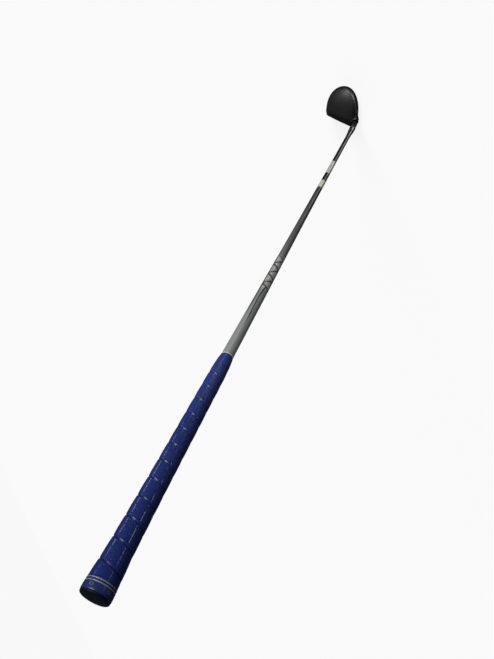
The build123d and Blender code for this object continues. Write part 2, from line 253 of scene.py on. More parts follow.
# ------------------------------------------------------------------ stage, camera, lights
def make_stage():
    m, nt, b = material("stage_floor", (0.10, 0.10, 0.10), 0.9, spec=0.0)
    b.inputs["Emission Color"].default_value = (1, 1, 1, 1)
    b.inputs["Emission Strength"].default_value = 0.86
    # only the view of the floor is pale: its bounce on the club is kept low
    dark = node(nt, "ShaderNodeBsdfDiffuse")
    dark.inputs["Color"].default_value = (0.035, 0.035, 0.037, 1)
    lp = node(nt, "ShaderNodeLightPath")
    ms = node(nt, "ShaderNodeMixShader")
    nt.links.new(lp.outputs["Is Camera Ray"], ms.inputs[0])
    nt.links.new(dark.outputs[0], ms.inputs[1])
    nt.links.new(b.outputs[0], ms.inputs[2])
    geo = node(nt, "ShaderNodeNewGeometry")
    clear = node(nt, "ShaderNodeBsdfTransparent")
    side = node(nt, "ShaderNodeMixShader")
    nt.links.new(math_node(nt, "MAXIMUM", geo.outputs["Backfacing"], lp.outputs["Is Shadow Ray"]), side.inputs[0])
    nt.links.new(ms.outputs[0], side.inputs[1])
    nt.links.new(clear.outputs[0], side.inputs[2])
    nt.links.new(side.outputs[0], nt.nodes["Material Output"].inputs["Surface"])
    bm = bmesh.new()
    seg = 96
    prof = [(0.5, 0.0), (1.0, 0.0), (3.0, 0.0), (6.0, 0.0), (14.0, 0.0), (30.0, 0.0), (60.0, 0.0)]
    rings = []
    cen = bm.verts.new((-0.3, 0.0, 0.0))
    for r, z in prof:
        rings.append([bm.verts.new((-0.3 + r * math.cos(2 * math.pi * i / seg), r * math.sin(2 * math.pi * i / seg), z))
                      for i in range(seg)])
    for i in range(seg):
        bm.faces.new((cen, rings[0][i], rings[0][(i + 1) % seg]))
        for a, c in zip(rings, rings[1:]):
            bm.faces.new((a[i], c[i], c[(i + 1) % seg], a[(i + 1) % seg]))
    me = bpy.data.meshes.new("stage_floor")
    bm.to_mesh(me)
    bm.free()
    me.materials.append(m)
    ob = bpy.data.objects.new("stage_floor", me)
    bpy.context.scene.collection.objects.link(ob)


make_stage()

CAM_AT = Vector((-0.74837, -0.38811, 0.90925))
CAM_X = Vector((-0.61600, -0.08340, -0.78332)).normalized()
CAM_Y = Vector((0.57612, -0.72587, -0.37577)).normalized()
cam_data = bpy.data.cameras.new("camera")
cam_data.sensor_width = 36.0
cam_data.sensor_fit = "AUTO"
cam_data.lens = 27.804
cam_data.clip_start = 0.02
cam_data.clip_end = 120
cam = bpy.data.objects.new("camera", cam_data)
bpy.context.scene.collection.objects.link(cam)
cz = CAM_X.cross(CAM_Y).normalized()
cy = cz.cross(CAM_X)
M = Matrix((CAM_X, cy, cz)).transposed().to_4x4()
M.translation = CAM_AT
cam.matrix_world = M
bpy.context.scene.camera = cam


def area(name, at, target, size, size_y, power, color=(1, 1, 1), spread=180.0):
    d = bpy.data.lights.new(name, "AREA")
    d.shape = "RECTANGLE"
    d.size = size
    d.size_y = size_y
    d.energy = power
    d.color = color
    d.spread = math.radians(spread)
    o = bpy.data.objects.new(name, d)
    o.location = at
    v = Vector(target) - Vector(at)
    o.rotation_euler = v.to_track_quat("-Z", "Y").to_euler()
    o.visible_camera = False
    bpy.context.scene.collection.objects.link(o)
    return o


sun_data = bpy.data.lights.new("sky_soft", "SUN")
sun_data.energy = 4.0
sun_data.angle = math.radians(34.0)
sun_data.color = (1.0, 0.99, 0.98)
sun = bpy.data.objects.new("sky_soft", sun_data)
sun.rotation_euler = Vector((-0.30, 1.00, -0.72)).to_track_quat("-Z", "Y").to_euler()
bpy.context.scene.collection.objects.link(sun)


def gloss_only(o):
    o.visible_diffuse = False
    return o


gloss_only(area("strip_left", (0.85, -0.46, 1.00), (-0.5, 0.02, 0.86), 0.09, 0.52, 1.45))


def floor_strip(name, p0, p1, width, power):
    """Long narrow panel lying on the floor, facing up, seen only in reflections."""
    p0, p1 = Vector((*p0, 0.012)), Vector((*p1, 0.012))
    d = bpy.data.lights.new(name, "AREA")
    d.shape = "RECTANGLE"
    d.size = (p1 - p0).length
    d.size_y = width
    d.energy = power
    o = bpy.data.objects.new(name, d)
    x = (p1 - p0).normalized()
    z = Vector((0, 0, -1))
    y = z.cross(x)
    mt = Matrix((x, y, z)).transposed().to_4x4()
    mt.translation = (p0 + p1) / 2
    o.matrix_world = mt
    o.visible_camera = False
    bpy.context.scene.collection.objects.link(o)
    return gloss_only(o)


floor_strip("floor_strip_shaft", (0.13, -0.42), (0.66, -1.80), 0.20, 1.8)
floor_strip("floor_strip_butt", (-0.93, -0.69), (-1.25, -0.94), 0.05, 1.0)
floor_strip("floor_strip_tip_a", (-0.058, -0.002), (-0.078, -0.018), 0.014, 0.0032)
floor_strip("floor_strip_tip_b", (-0.078, -0.018), (-0.108, -0.052), 0.028, 0.012)
floor_strip("floor_strip_tip_c", (-0.108, -0.052), (-0.150, -0.105), 0.046, 0.036)
floor_strip("floor_strip_tip_d", (-0.150, -0.105), (-0.200, -0.172), 0.052, 0.027)
gloss_only(area("low_fill", (-0.10, -0.62, 0.12), (-0.05, 0.0, 0.10), 1.2, 0.34, 0.7))
gloss_only(area("head_sheen", (-0.50, -0.86, 0.16), (-0.03, 0.0, 0.02), 0.60, 0.30, 1.0, spread=64.0))
gloss_only(floor_strip("floor_strip_tip_e", (-0.045, -0.150), (-0.040, -0.265), 0.12, 0.036))
fill_data = bpy.data.lights.new("fill_soft", "SUN")
fill_data.energy = 1.1
fill_data.angle = math.radians(60.0)
fill = bpy.data.objects.new("fill_soft", fill_data)
fill.rotation_euler = Vector((0.10, -1.0, -0.40)).to_track_quat("-Z", "Y").to_euler()
fill.visible_glossy = False
bpy.context.scene.collection.objects.link(fill)
# light that a pale floor sends back up
up_data = bpy.data.lights.new("bounce_up", "SUN")
up_data.energy = 0.75
up_data.angle = math.radians(80.0)
up_sun = bpy.data.objects.new("bounce_up", up_data)
up_sun.rotation_euler = Vector((0.15, 0.35, 1.0)).to_track_quat("-Z", "Y").to_euler()
bpy.context.scene.collection.objects.link(up_sun)

world = bpy.data.worlds.new("world")
bpy.context.scene.world = world
world.use_nodes = True
wt = world.node_tree
bg = wt.nodes["Background"]
bg.inputs["Color"].default_value = (0.93, 0.95, 1.0, 1)
bg.inputs["Strength"].default_value = 0.065
bg2 = wt.nodes.new("ShaderNodeBackground")
bg2.inputs["Color"].default_value = (1.0, 1.0, 1.0, 1)
bg2.inputs["Strength"].default_value = 0.94
wlp = wt.nodes.new("ShaderNodeLightPath")
wmx = wt.nodes.new("ShaderNodeMixShader")
wt.links.new(wlp.outputs["Is Camera Ray"], wmx.inputs[0])
wt.links.new(bg.outputs[0], wmx.inputs[1])
wt.links.new(bg2.outputs[0], wmx.inputs[2])
wt.links.new(wmx.outputs[0], wt.nodes["World Output"].inputs["Surface"])

bpy.context.scene.view_settings.view_transform = "Standard"
bpy.context.scene.view_settings.look = "None"
bpy.context.scene.view_settings.exposure = 0.0
bpy.context.scene.view_settings.gamma = 1.0

# ------------------------------------------------------------------ grip
MOUTH_S, COLLAR_S, WRAP_TOP = 778.5, 791.0, 1033.8
GRIP_OD = [(791.0, 8.55), (804.0, 8.85), (818.0, 9.05), (855.0, 9.28), (878.0, 9.48), (900.0, 9.62),
           (920.0, 9.82), (940.0, 9.98), (958.0, 10.22), (975.0, 10.48), (991.0, 10.78),
           (1006.0, 11.05), (1013.4, 11.38), (1020.6, 11.80), (1027.5, 12.22), (1033.8, 12.62)]
UNDER_OD = [(791.0, 7.72), (818.0, 7.95), (878.0, 8.35), (940.0, 8.85), (991.0, 9.55),
            (1013.4, 10.10), (1033.8, 11.20)]


def soft_interp(table, s, blur=5.0):
    """Table read through a short blur, so that its slope has no corners."""
    t = np.array(table)
    s = np.asarray(s, float)
    out = np.zeros_like(s)
    wsum = 0.0
    for k in np.linspace(-1, 1, 9):
        w = 1 - abs(k) * 0.9
        q = s + k * blur
        v = np.interp(q, t[:, 0], t[:, 1])
        lo, hi = t[0, 0], t[-1, 0]
        g0 = (t[1, 1] - t[0, 1]) / (t[1, 0] - t[0, 0])
        g1 = (t[-1, 1] - t[-2, 1]) / (t[-1, 0] - t[-2, 0])
        v = np.where(q < lo, t[0, 1] + g0 * (q - lo), v)
        v = np.where(q > hi, t[-1, 1] + g1 * (q - hi), v)
        out += w * v
        wsum += w
    return out / wsum


def lattice_noise(s, a, cell_s, cell_n, seed):
    """Smooth value noise on the unrolled grip, periodic round it."""
    rng = np.random.default_rng(seed)
    g = rng.uniform(-1, 1, (400, cell_n))
    x = s / cell_s
    y = (a / (2 * np.pi)) * cell_n
    x0 = np.floor(x).astype(int)
    y0 = np.floor(y).astype(int)
    fx = x - x0
    fy = y - y0
    fx = fx * fx * (3 - 2 * fx)
    fy = fy * fy * (3 - 2 * fy)
    a00 = g[x0 % 400, y0 % cell_n]
    a10 = g[(x0 + 1) % 400, y0 % cell_n]
    a01 = g[x0 % 400, (y0 + 1) % cell_n]
    a11 = g[(x0 + 1) % 400, (y0 + 1) % cell_n]
    return (a00 * (1 - fx) + a10 * fx) * (1 - fy) + (a01 * (1 - fx) + a11 * fx) * fy


PITCH = 19.2
SEAM_S0 = 1018.6


def step(x, lo, hi):
    t = np.clip((x - lo) / (hi - lo), 0, 1)
    return t * t * (3 - 2 * t)


def wrap_surface(s, a):
    """Radius of the wrapped strip, with how much of a point is in a hole and in a seam."""
    phi = (s - SEAM_S0) / PITCH + a / (2 * np.pi)
    k = np.floor(phi)
    u = phi - k
    dd = ((phi + 0.5) % 1.0 - 0.5) * PITCH
    r = soft_interp(GRIP_OD, s)
    fade = step(s, 791.0, 800.0) * (1 - step(s, 1026.0, 1033.0))
    seam = np.exp(-(dd / 0.36) ** 2)
    h = -0.58 * seam
    h += -0.34 * np.exp(-np.abs(dd) / 1.5)
    h += 0.10 * np.exp(-((dd - 1.3) / 0.8) ** 2)
    h += 0.16 * np.sin(np.pi * u)
    psi = 2 * np.pi * k - a
    w = psi * 10.2
    hole = np.zeros_like(r)
    gap = 4.58
    for j in range(4):
        uj = (0.62 + j * 0.92) / 4.0
        du = (u - uj) * PITCH
        q = w / gap + 0.5 * (j % 2)
        dw = (q - np.round(q)) * gap
        d = np.sqrt(du * du + dw * dw)
        hole = np.maximum(hole, 1 - step(d, 0.28, 0.58))
    hole = hole * (fade > 0.5)
    h += -0.42 * hole
    h = h * np.where(fade < 1, fade, 1.0)
    h += 0.030 * lattice_noise(s, a, 9.0, 7, 3) * fade + 0.006 * lattice_noise(s, a, 2.6, 24, 5)
    return r + h, hole, seam * fade


def make_wrap(mat):
    rows, cols = ((800, 240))
    s = np.linspace(791.0, 1033.8, rows)
    a = np.linspace(-np.pi, np.pi, cols, endpoint=False)
    S, A = np.meshgrid(s, a, indexing="ij")
    R, hole, seam = wrap_surface(S, A)
    V = around(S, R, A)
    # inner skin closes the strip
    si = np.linspace(1033.8, 791.0, 24)
    SI, AI = np.meshgrid(si, a, indexing="ij")
    RI = np.interp(SI, *zip(*UNDER_OD))
    VI = around(SI, RI, AI)
    verts = np.concatenate([V.reshape(-1, 3), VI.reshape(-1, 3)])
    faces = grid_faces(rows + 24, cols, wrap_rows=True)
    ob = add_mesh("grip_wrap_strip", verts, faces, mat, "shaft_assembly", 70.0)
    pit = ob.data.attributes.new("pit", "FLOAT", "POINT")
    pit.data.foreach_set("value", np.concatenate([hole.ravel(), np.zeros(24 * cols)]).astype(np.float32))
    sm = ob.data.attributes.new("slit", "FLOAT", "POINT")
    sm.data.foreach_set("value", np.concatenate([seam.ravel(), np.zeros(24 * cols)]).astype(np.float32))
    return ob


def grip_material(name, base=(0.0105, 0.0250, 0.125), with_attr=True, rough=0.38):
    m, nt, b = material(name, base, rough, coat=0.42, coat_rough=0.06, spec=0.13)
    s, turns, obj = axis_coords(nt)
    n1 = noise(nt, obj, 90.0, 3.0, 0.55)
    n2 = noise(nt, obj, 620.0, 2.0, 0.5)
    dark = tuple(c * 0.86 for c in base)
    lite = tuple(min(1, c * 1.14 + 0.001) for c in base)
    col = ramp(nt, n1, [(0.30, dark), (0.52, base), (0.74, lite)])
    near_mouth = smoothstep(nt, s, 885.0, 800.0)
    col = mix(nt, math_node(nt, "MULTIPLY", near_mouth, 0.30), col, (0.040, 0.064, 0.260))
    near_butt = smoothstep(nt, s, 890.0, 1010.0)
    col = mix(nt, math_node(nt, "MULTIPLY", near_butt, 0.50), col, (0.0034, 0.0088, 0.084))
    film = math_node(nt, "SUBTRACT", 0.40, math_node(nt, "MULTIPLY", smoothstep(nt, s, 1006.0, 1022.0), 0.30))
    if with_attr:
        at = node(nt, "ShaderNodeAttribute", attribute_name="pit")
        sl = node(nt, "ShaderNodeAttribute", attribute_name="slit")
        # perforations darkened in colour: partly the dark underlisting showing through, partly painted shade inside the
        # holes
        f = math_node(nt, "MULTIPLY", at.outputs["Fac"], 1.35, clamp=True)
        col = mix(nt, f, col, (0.0008, 0.0012, 0.006))
        # the film stops at the rim of each perforation
        pierced = math_node(nt, "MULTIPLY", at.outputs["Fac"], 8.0, clamp=True)
        film = math_node(nt, "MULTIPLY", film, math_node(nt, "SUBTRACT", 1.0, pierced))
        f = math_node(nt, "MULTIPLY", sl.outputs["Fac"], 0.75, clamp=True)
        col = mix(nt, f, col, (0.002, 0.003, 0.018))
    nt.links.new(film, b.inputs["Coat Weight"])
    nt.links.new(col, b.inputs["Base Color"])
    rr = ramp(nt, n2, [(0.3, (rough - 0.07,) * 3), (0.7, (rough + 0.10,) * 3)])
    nt.links.new(rr, b.inputs["Roughness"])
    # fine slanted ribs of the polymer film
    w = math_node(nt, "ADD", math_node(nt, "MULTIPLY", s, 6.9), math_node(nt, "MULTIPLY", turns, 420.0))
    rib = math_node(nt, "SINE", w)
    hgt = math_node(nt, "ADD", math_node(nt, "MULTIPLY", rib, 0.30), n2)
    # the film puckers toward the mouth
    pucker = math_node(nt, "MULTIPLY", noise(nt, obj, 330.0, 1.0), math_node(nt, "MULTIPLY", near_mouth, 5.0))
    hgt = math_node(nt, "ADD", hgt, pucker)
    bump(nt, b, hgt, 0.16, 0.00010)
    return m


GRIP_BLUE = grip_material("grip_polymer")
GRIP_PLAIN = grip_material("grip_collar_polymer", with_attr=False)
wrap = make_wrap(GRIP_BLUE)
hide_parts("grip_wrap")

# ------------------------------------------------------------------ mouth of the grip
def shaft_r(s):
    return soft_interp([(30.0, 4.25), (241.0, 4.25), (300.0, 4.42), (444.0, 4.90), (550.0, 5.45), (661.0, 6.33),
                        (779.0, 7.05), (1036.0, 7.60)], s, 8.0)


def make_collar():
    rows, cols = ((72, 240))
    t = np.linspace(0, 1, rows)
    s_out = 778.5 + 0.5 + t * 12.5
    r_out = np.interp(s_out, [779.0, 780.2, 782.0, 786.5, 791.5], [7.42, 7.66, 7.80, 8.16, 8.55])
    a = np.linspace(-np.pi, np.pi, cols, endpoint=False)
    S, A = np.meshgrid(s_out, a, indexing="ij")
    R = np.interp(S, s_out, r_out)
    lump = 0.10 * lattice_noise(S, A, 2.4, 26, 11) + 0.06 * lattice_noise(S, A, 1.3, 48, 12)
    R = R + lump * np.minimum(1, np.minimum((S - 779.0) / 1.5, (791.4 - S) / 1.5).clip(0, 1))
    V = [around(S, R, A).reshape(-1, 3)]
    tail = [(791.5, 8.40), (791.5, 7.20), (788.0, 7.14), (783.0, 7.11), (778.9, 7.09), (778.55, 7.14), (778.42, 7.24),
            (778.5, 7.34), (778.7, 7.40)]
    for s, r in tail:
        V.append(around(np.full(cols, s), np.full(cols, r), a))
    verts = np.concatenate(V)
    faces = grid_faces(rows + len(tail), cols, wrap_rows=True)
    ob = add_mesh("grip_mouth", verts, faces, GRIP_PLAIN, "shaft_assembly", 50.0)
    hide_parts("grip_collar")


make_collar()

# ------------------------------------------------------------------ butt of the grip
CAP_BLUE, cnt, cbs = material("cap_blue", (0.010, 0.018, 0.085), 0.40, coat=0.14, coat_rough=0.16, spec=0.2)
s_, turns_, obj_ = axis_coords(cnt)
col = ramp(cnt, noise(cnt, obj_, 160.0, 3.0), [(0.3, (0.0075, 0.0135, 0.066)), (0.7, (0.0125, 0.0215, 0.098))])
# generic marks read as paler ovals on the band, in colour only
mark = None
for ctr, sc in ((-0.205, 1.0), (-0.395, 0.85)):
    dx = math_node(cnt, "MULTIPLY", math_node(cnt, "SUBTRACT", turns_, ctr), 2 * math.pi * 12.9)
    dy = math_node(cnt, "SUBTRACT", s_, 1040.1)
    q = math_node(cnt, "SQRT", math_node(cnt, "ADD", math_node(cnt, "POWER", math_node(cnt, "DIVIDE", dx, 1.7 * sc), 2.0),
                                         math_node(cnt, "POWER", math_node(cnt, "DIVIDE", dy, 1.15 * sc), 2.0)))
    rim = smoothstep(cnt, math_node(cnt, "ABSOLUTE", math_node(cnt, "SUBTRACT", q, 0.85)), 0.30, 0.12)
    mark = rim if mark is None else math_node(cnt, "MAXIMUM", mark, rim)
col = mix(cnt, math_node(cnt, "MULTIPLY", mark, 0.65), col, (0.10, 0.125, 0.22))
cnt.links.new(col, cbs.inputs["Base Color"])
bump(cnt, cbs, noise(cnt, obj_, 700.0, 2.0), 0.18, 0.0001)

CAP_DARK, dnt, dbs = material("cap_dark_rubber", (0.0022, 0.0031, 0.009), 0.52, coat=0.02, coat_rough=0.25, spec=0.08)
s_, turns_, obj_ = axis_coords(dnt)
dnt.links.new(ramp(dnt, noise(dnt, obj_, 240.0, 3.0), [(0.3, (0.0016, 0.0023, 0.0068)), (0.7, (0.0028, 0.0040, 0.0112))]),
              dbs.inputs["Base Color"])
bump(dnt, dbs, noise(dnt, obj_, 900.0, 2.0), 0.25, 0.0001)

TRIM, tnt, tbs = material("trim_silver", (0.19, 0.20, 0.23), 0.46, metal=0.25, spec=0.24)
s_, turns_, obj_ = axis_coords(tnt)
tnt.links.new(ramp(tnt, noise(tnt, obj_, 1500.0, 2.0), [(0.3, (0.42,) * 3), (0.7, (0.52,) * 3)]), tbs.inputs["Roughness"])

RING_A, RING_B, RING_W, CAP_END, DOME_END = 1034.7, 1036.9, 0.8, 1043.9, 1046.6
cap_prof = [(1036.6, 1.25), (1036.6, 4.5), (1036.6, 7.62), (1035.0, 7.62), (1033.85, 7.62), (1033.85, 10.0), (1033.85, 12.45),
            (1033.92, 12.58), (1034.1, 12.64), (1034.5, 12.67), (1034.68, 12.62), (RING_A, 12.50), (RING_A, 12.16),
            (RING_A + RING_W, 12.16), (RING_A + RING_W, 12.55), (RING_A + RING_W + 0.05, 12.66),
            (RING_A + RING_W + 0.25, 12.71), (RING_B - 0.25, 12.76), (RING_B - 0.05, 12.72), (RING_B, 12.62),
            (RING_B, 12.28), (RING_B + RING_W, 12.28), (RING_B + RING_W, 12.68), (RING_B + RING_W + 0.05, 12.78),
            (RING_B + RING_W + 0.3, 12.84), (1038.6, 12.90), (1039.3, 12.95), (1040.0, 12.98), (1041.0, 12.99),
            (1042.0, 12.98), (1042.7, 12.94), (1043.2, 12.88), (1043.6, 12.78), (1043.84, 12.66), (CAP_END, 12.50),
            (CAP_END, 11.60), (1042.0, 11.60), (1042.0, 6.0), (1042.0, 1.25), (1040.0, 1.25), (1038.0, 1.25)]
cap = lathe("grip_cap_body", cap_prof, CAP_BLUE, seg=192, angle=50.0)
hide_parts("butt_cap")

dome = [(1042.03, 11.50), (CAP_END + 0.02, 11.50), (CAP_END + 0.02, 12.45), (CAP_END + 0.10, 12.57), (CAP_END + 0.30, 12.62),
        (CAP_END + 0.70, 12.60), (CAP_END + 1.05, 12.50), (CAP_END + 1.35, 12.30), (CAP_END + 1.60, 12.00),
        (CAP_END + 1.80, 11.55), (CAP_END + 1.93, 11.0), (CAP_END + 2.08, 10.0), (CAP_END + 2.26, 8.6), (CAP_END + 2.42, 7.0),
        (CAP_END + 2.54, 5.4), (CAP_END + 2.63, 3.8), (CAP_END + 2.67, 2.6), (CAP_END + 2.69, 2.1), (CAP_END + 2.66, 1.85),
        (CAP_END + 2.55, 1.65), (CAP_END + 2.35, 1.42), (CAP_END + 2.05, 1.27), (1044.5, 1.25), (1042.03, 1.25), (1042.03, 6.0)]
d_ob = lathe("grip_cap_dome", dome, CAP_DARK, seg=192, angle=50.0)
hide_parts("cap_disc")


def trim(name, s0, r_in, r_out, target):
    prof = [(s0, r_in)]
    for k in range(9):
        a = math.pi * k / 8
        prof.append((s0 + RING_W / 2 - RING_W / 2 * math.cos(a), r_out - 0.10 + 0.24 * math.sin(a)))
    prof.append((s0 + RING_W, r_in))
    ob = lathe(name, prof, TRIM, seg=192, angle=60.0)
    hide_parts(target)


trim("trim_ring_near_wrap", RING_A, 12.18, 12.70, "trim_ring_upper")
trim("trim_ring_near_cap", RING_B, 12.30, 12.82, "trim_ring_lower")

# ------------------------------------------------------------------ shaft
FACING = -107.0 / 360.0


def screen_phi(nt, turns):
    """Angle round the shaft from its printed side, in radians."""
    return math_node(nt, "MULTIPLY", math_node(nt, "SUBTRACT", turns, FACING), -2 * math.pi)


GRAPHITE, gnt, gbs = material("graphite_lacquer", (0.2, 0.2, 0.2), 0.34, metal=0.0, coat=0.5, coat_rough=0.07, spec=0.16)
s_, turns_, obj_ = axis_coords(gnt)
f_ = math_node(gnt, "DIVIDE", s_, 1040.0)
base = ramp(gnt, f_, [(0.09, (0.0035, 0.0035, 0.0038)), (0.30, (0.0045, 0.0045, 0.0048)), (0.335, (0.022, 0.022, 0.0235)),
                      (0.40, (0.044, 0.044, 0.047)), (0.50, (0.095, 0.097, 0.101)), (0.60, (0.205, 0.211, 0.214)),
                      (0.68, (0.260, 0.268, 0.270)), (0.76, (0.285, 0.291, 0.295))])
flake = ramp(gnt, noise(gnt, obj_, 5200.0, 1.0), [(0.35, (0.86,) * 3), (0.65, (1.12,) * 3)])
mx_ = node(gnt, "ShaderNodeMix", data_type="RGBA", blend_type="MULTIPLY")
mx_.inputs[0].default_value = 1.0
gnt.links.new(base, mx_.inputs[6])
gnt.links.new(flake, mx_.inputs[7])
base = mx_.outputs[2]
phi = screen_phi(gnt, turns_)
# pinstripe that wanders down the shaft from a point
path = ramp(gnt, math_node(gnt, "DIVIDE", math_node(gnt, "SUBTRACT", s_, 640.0), 105.0),
            [(0.0, (0.62,) * 3), (0.12, (0.50,) * 3), (0.30, (0.34,) * 3), (0.56, (0.44,) * 3), (0.80, (0.47,) * 3), (0.96, (0.34,) * 3)],
            "B_SPLINE")
path = math_node(gnt, "MULTIPLY", math_node(gnt, "SUBTRACT", path, 0.5), 2.0)
wid = ramp(gnt, math_node(gnt, "DIVIDE", math_node(gnt, "SUBTRACT", s_, 640.0), 105.0), [(0.0, (0.20,) * 3), (0.6, (0.15,) * 3), (0.94, (0.0,) * 3)])
dl = math_node(gnt, "ABSOLUTE", math_node(gnt, "SUBTRACT", phi, path))
stripe = smoothstep(gnt, math_node(gnt, "SUBTRACT", wid, dl), 0.0, 0.05)
on = math_node(gnt, "MULTIPLY", smoothstep(gnt, s_, 646.0, 650.0), smoothstep(gnt, s_, 746.0, 740.0))
stripe = math_node(gnt, "MULTIPLY", stripe, on)
# second line, near the edge of the printed side
side2 = smoothstep(gnt, math_node(gnt, "ABSOLUTE", math_node(gnt, "ADD", phi, 0.95)), 0.24, 0.12)
on2 = math_node(gnt, "MULTIPLY", smoothstep(gnt, s_, 640.0, 648.0), smoothstep(gnt, s_, 712.0, 690.0))
stripe = math_node(gnt, "MAXIMUM", stripe, math_node(gnt, "MULTIPLY", math_node(gnt, "MULTIPLY", side2, on2), 0.75))
# facets: a zigzag of dark bands with pale triangles between them
zz = math_node(gnt, "PINGPONG", math_node(gnt, "SUBTRACT", s_, 570.0), 11.8)
zz = math_node(gnt, "SUBTRACT", math_node(gnt, "MULTIPLY", zz, 2.4 / 11.8), 1.20)
dz = math_node(gnt, "ABSOLUTE", math_node(gnt, "SUBTRACT", phi, zz))
zig = smoothstep(gnt, dz, 0.44, 0.26)
top = smoothstep(gnt, math_node(gnt, "ABSOLUTE", math_node(gnt, "ADD", phi, 1.30)), 0.42, 0.28)
low = smoothstep(gnt, math_node(gnt, "ABSOLUTE", math_node(gnt, "SUBTRACT", phi, 1.35)), 0.40, 0.26)
zone = math_node(gnt, "MULTIPLY", smoothstep(gnt, s_, 570.0, 576.0), smoothstep(gnt, s_, 656.0, 650.0))
pale = math_node(gnt, "MULTIPLY", math_node(gnt, "SUBTRACT", 1.0, smoothstep(gnt, math_node(gnt, "ABSOLUTE", phi), 1.1, 1.35)), zone)
base = mix(gnt, math_node(gnt, "MULTIPLY", pale, 0.66), base, (0.400, 0.405, 0.390))
dark_ = math_node(gnt, "MULTIPLY", math_node(gnt, "MAXIMUM", math_node(gnt, "MAXIMUM", zig, top), low), zone)
dark_ = math_node(gnt, "MAXIMUM", dark_, stripe)
base = mix(gnt, math_node(gnt, "MULTIPLY", dark_, 0.86), base, (0.010, 0.0125, 0.0125))
gnt.links.new(base, gbs.inputs["Base Color"])
up_ = smoothstep(gnt, s_, 380.0, 640.0)
gnt.links.new(math_node(gnt, "MULTIPLY", up_, 0.50), gbs.inputs["Metallic"])
gnt.links.new(math_node(gnt, "ADD", 0.34, math_node(gnt, "MULTIPLY", up_, 0.34)), gbs.inputs["Roughness"])
bump(gnt, gbs, noise(gnt, obj_, 420.0, 2.0), 0.05, 0.0001)

ss = np.concatenate([np.linspace(30.2, 99.0, 24), np.linspace(101.0, 777.0, 240), np.linspace(780.0, 1035.8, 40)])
outer = [(30.0, 3.95)] + [(float(s), float(r)) for s, r in zip(ss, shaft_r(ss))] + [(1036.0, 7.40)]
inner = [(s, float(np.interp(s, [30, 241, 444, 661, 779, 1036], [2.55, 2.75, 3.70, 5.20, 5.95, 6.55]))) for s in np.linspace(1036.0, 30.0, 40)]
sh = lathe("shaft_tube", outer + inner, GRAPHITE, seg=128, angle=35.0)
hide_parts("shaft")


# printed bands
def label_material(name, kind):
    m, nt, b = material(name, (0.7, 0.7, 0.66), 0.34, coat=0.5, coat_rough=0.1)
    s, turns, obj = axis_coords(nt)
    phi = screen_phi(nt, turns)
    if kind == "upper":
        col = ramp(nt, noise(nt, obj, 110.0, 2.0), [(0.35, (0.52, 0.51, 0.43)), (0.65, (0.66, 0.65, 0.57))])
        u = math_node(nt, "DIVIDE", math_node(nt, "SUBTRACT", s, 331.5), 4.2)
        q = math_node(nt, "SQRT", math_node(nt, "ADD", math_node(nt, "POWER", u, 2.0), math_node(nt, "POWER", math_node(nt, "DIVIDE", math_node(nt, "ADD", phi, 0.05), 0.62), 2.0)))
        ringm = smoothstep(nt, math_node(nt, "ABSOLUTE", math_node(nt, "SUBTRACT", q, 1.0)), 0.30, 0.10)
        col = mix(nt, math_node(nt, "MULTIPLY", ringm, 0.55), col, (0.16, 0.18, 0.13))
        for k in (320.4, 323.0, 341.0, 343.2):
            ln = smoothstep(nt, math_node(nt, "ABSOLUTE", math_node(nt, "SUBTRACT", s, k)), 0.75, 0.35)
            col = mix(nt, math_node(nt, "MULTIPLY", ln, 0.5), col, (0.17, 0.18, 0.15))
        bar = smoothstep(nt, math_node(nt, "ABSOLUTE", math_node(nt, "SUBTRACT", math_node(nt, "ADD", phi, math_node(nt, "MULTIPLY", u, 0.5)), 0.0)), 0.22, 0.10)
        bar = math_node(nt, "MULTIPLY", bar, smoothstep(nt, q, 0.85, 0.70))
        col = mix(nt, math_node(nt, "MULTIPLY", bar, 0.6), col, (0.20, 0.23, 0.16))
    else:
        col = ramp(nt, noise(nt, obj, 110.0, 2.0), [(0.35, (0.41, 0.415, 0.40)), (0.65, (0.54, 0.545, 0.52))])
        # rows of short plain dashes
        row = math_node(nt, "ABSOLUTE", math_node(nt, "SUBTRACT", math_node(nt, "FRACT", math_node(nt, "DIVIDE", phi, 0.55)), 0.5))
        rowm = smoothstep(nt, row, 0.26, 0.16)
        cell = math_node(nt, "ADD", math_node(nt, "DIVIDE", s, 3.1), math_node(nt, "MULTIPLY", math_node(nt, "FLOOR", math_node(nt, "DIVIDE", phi, 0.55)), 0.37))
        dash = smoothstep(nt, math_node(nt, "ABSOLUTE", math_node(nt, "SUBTRACT", math_node(nt, "FRACT", cell), 0.5)), 0.40, 0.30)
        lim = math_node(nt, "MULTIPLY", smoothstep(nt, s, 238.0, 239.5), smoothstep(nt, s, 282.0, 280.5))
        mk = math_node(nt, "MULTIPLY", math_node(nt, "MULTIPLY", rowm, dash), lim)
        col = mix(nt, math_node(nt, "MULTIPLY", mk, 0.55), col, (0.13, 0.135, 0.13))
        # painted shade: the band is darkened towards one side, as if that side were turned from the light
        side_ = smoothstep(nt, phi, 0.15, 0.9)
        col = mix(nt, math_node(nt, "MULTIPLY", side_, 0.15), col, (0.20, 0.205, 0.205))
    nt.links.new(col, b.inputs["Base Color"])
    bump(nt, b, noise(nt, obj, 800.0, 2.0), 0.06, 0.0001)
    return m


def band(name, s0, s1, t, mat, target):
    q = np.linspace(s0 + 0.25, s1 - 0.25, 24)
    outer = [(s0, float(shaft_r(s0)) + t * 0.3), (s0 + 0.08, float(shaft_r(s0)) + t * 0.8)]
    outer += [(float(s), float(shaft_r(s)) + t) for s in q]
    outer += [(s1 - 0.08, float(shaft_r(s1)) + t * 0.8), (s1, float(shaft_r(s1)) + t * 0.3)]
    inner = [(float(s), float(shaft_r(s)) + 0.004) for s in np.linspace(s1, s0, 12)]
    ob = lathe(name, outer + inner, mat, seg=128, angle=50.0)
    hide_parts(target)


band("shaft_label_upper", 318.0, 345.0, 0.12, label_material("label_upper", "upper"), "shaft_band_upper")
band("shaft_label_lower", 234.0, 286.0, 0.12, label_material("label_lower", "lower"), "shaft_band_lower")

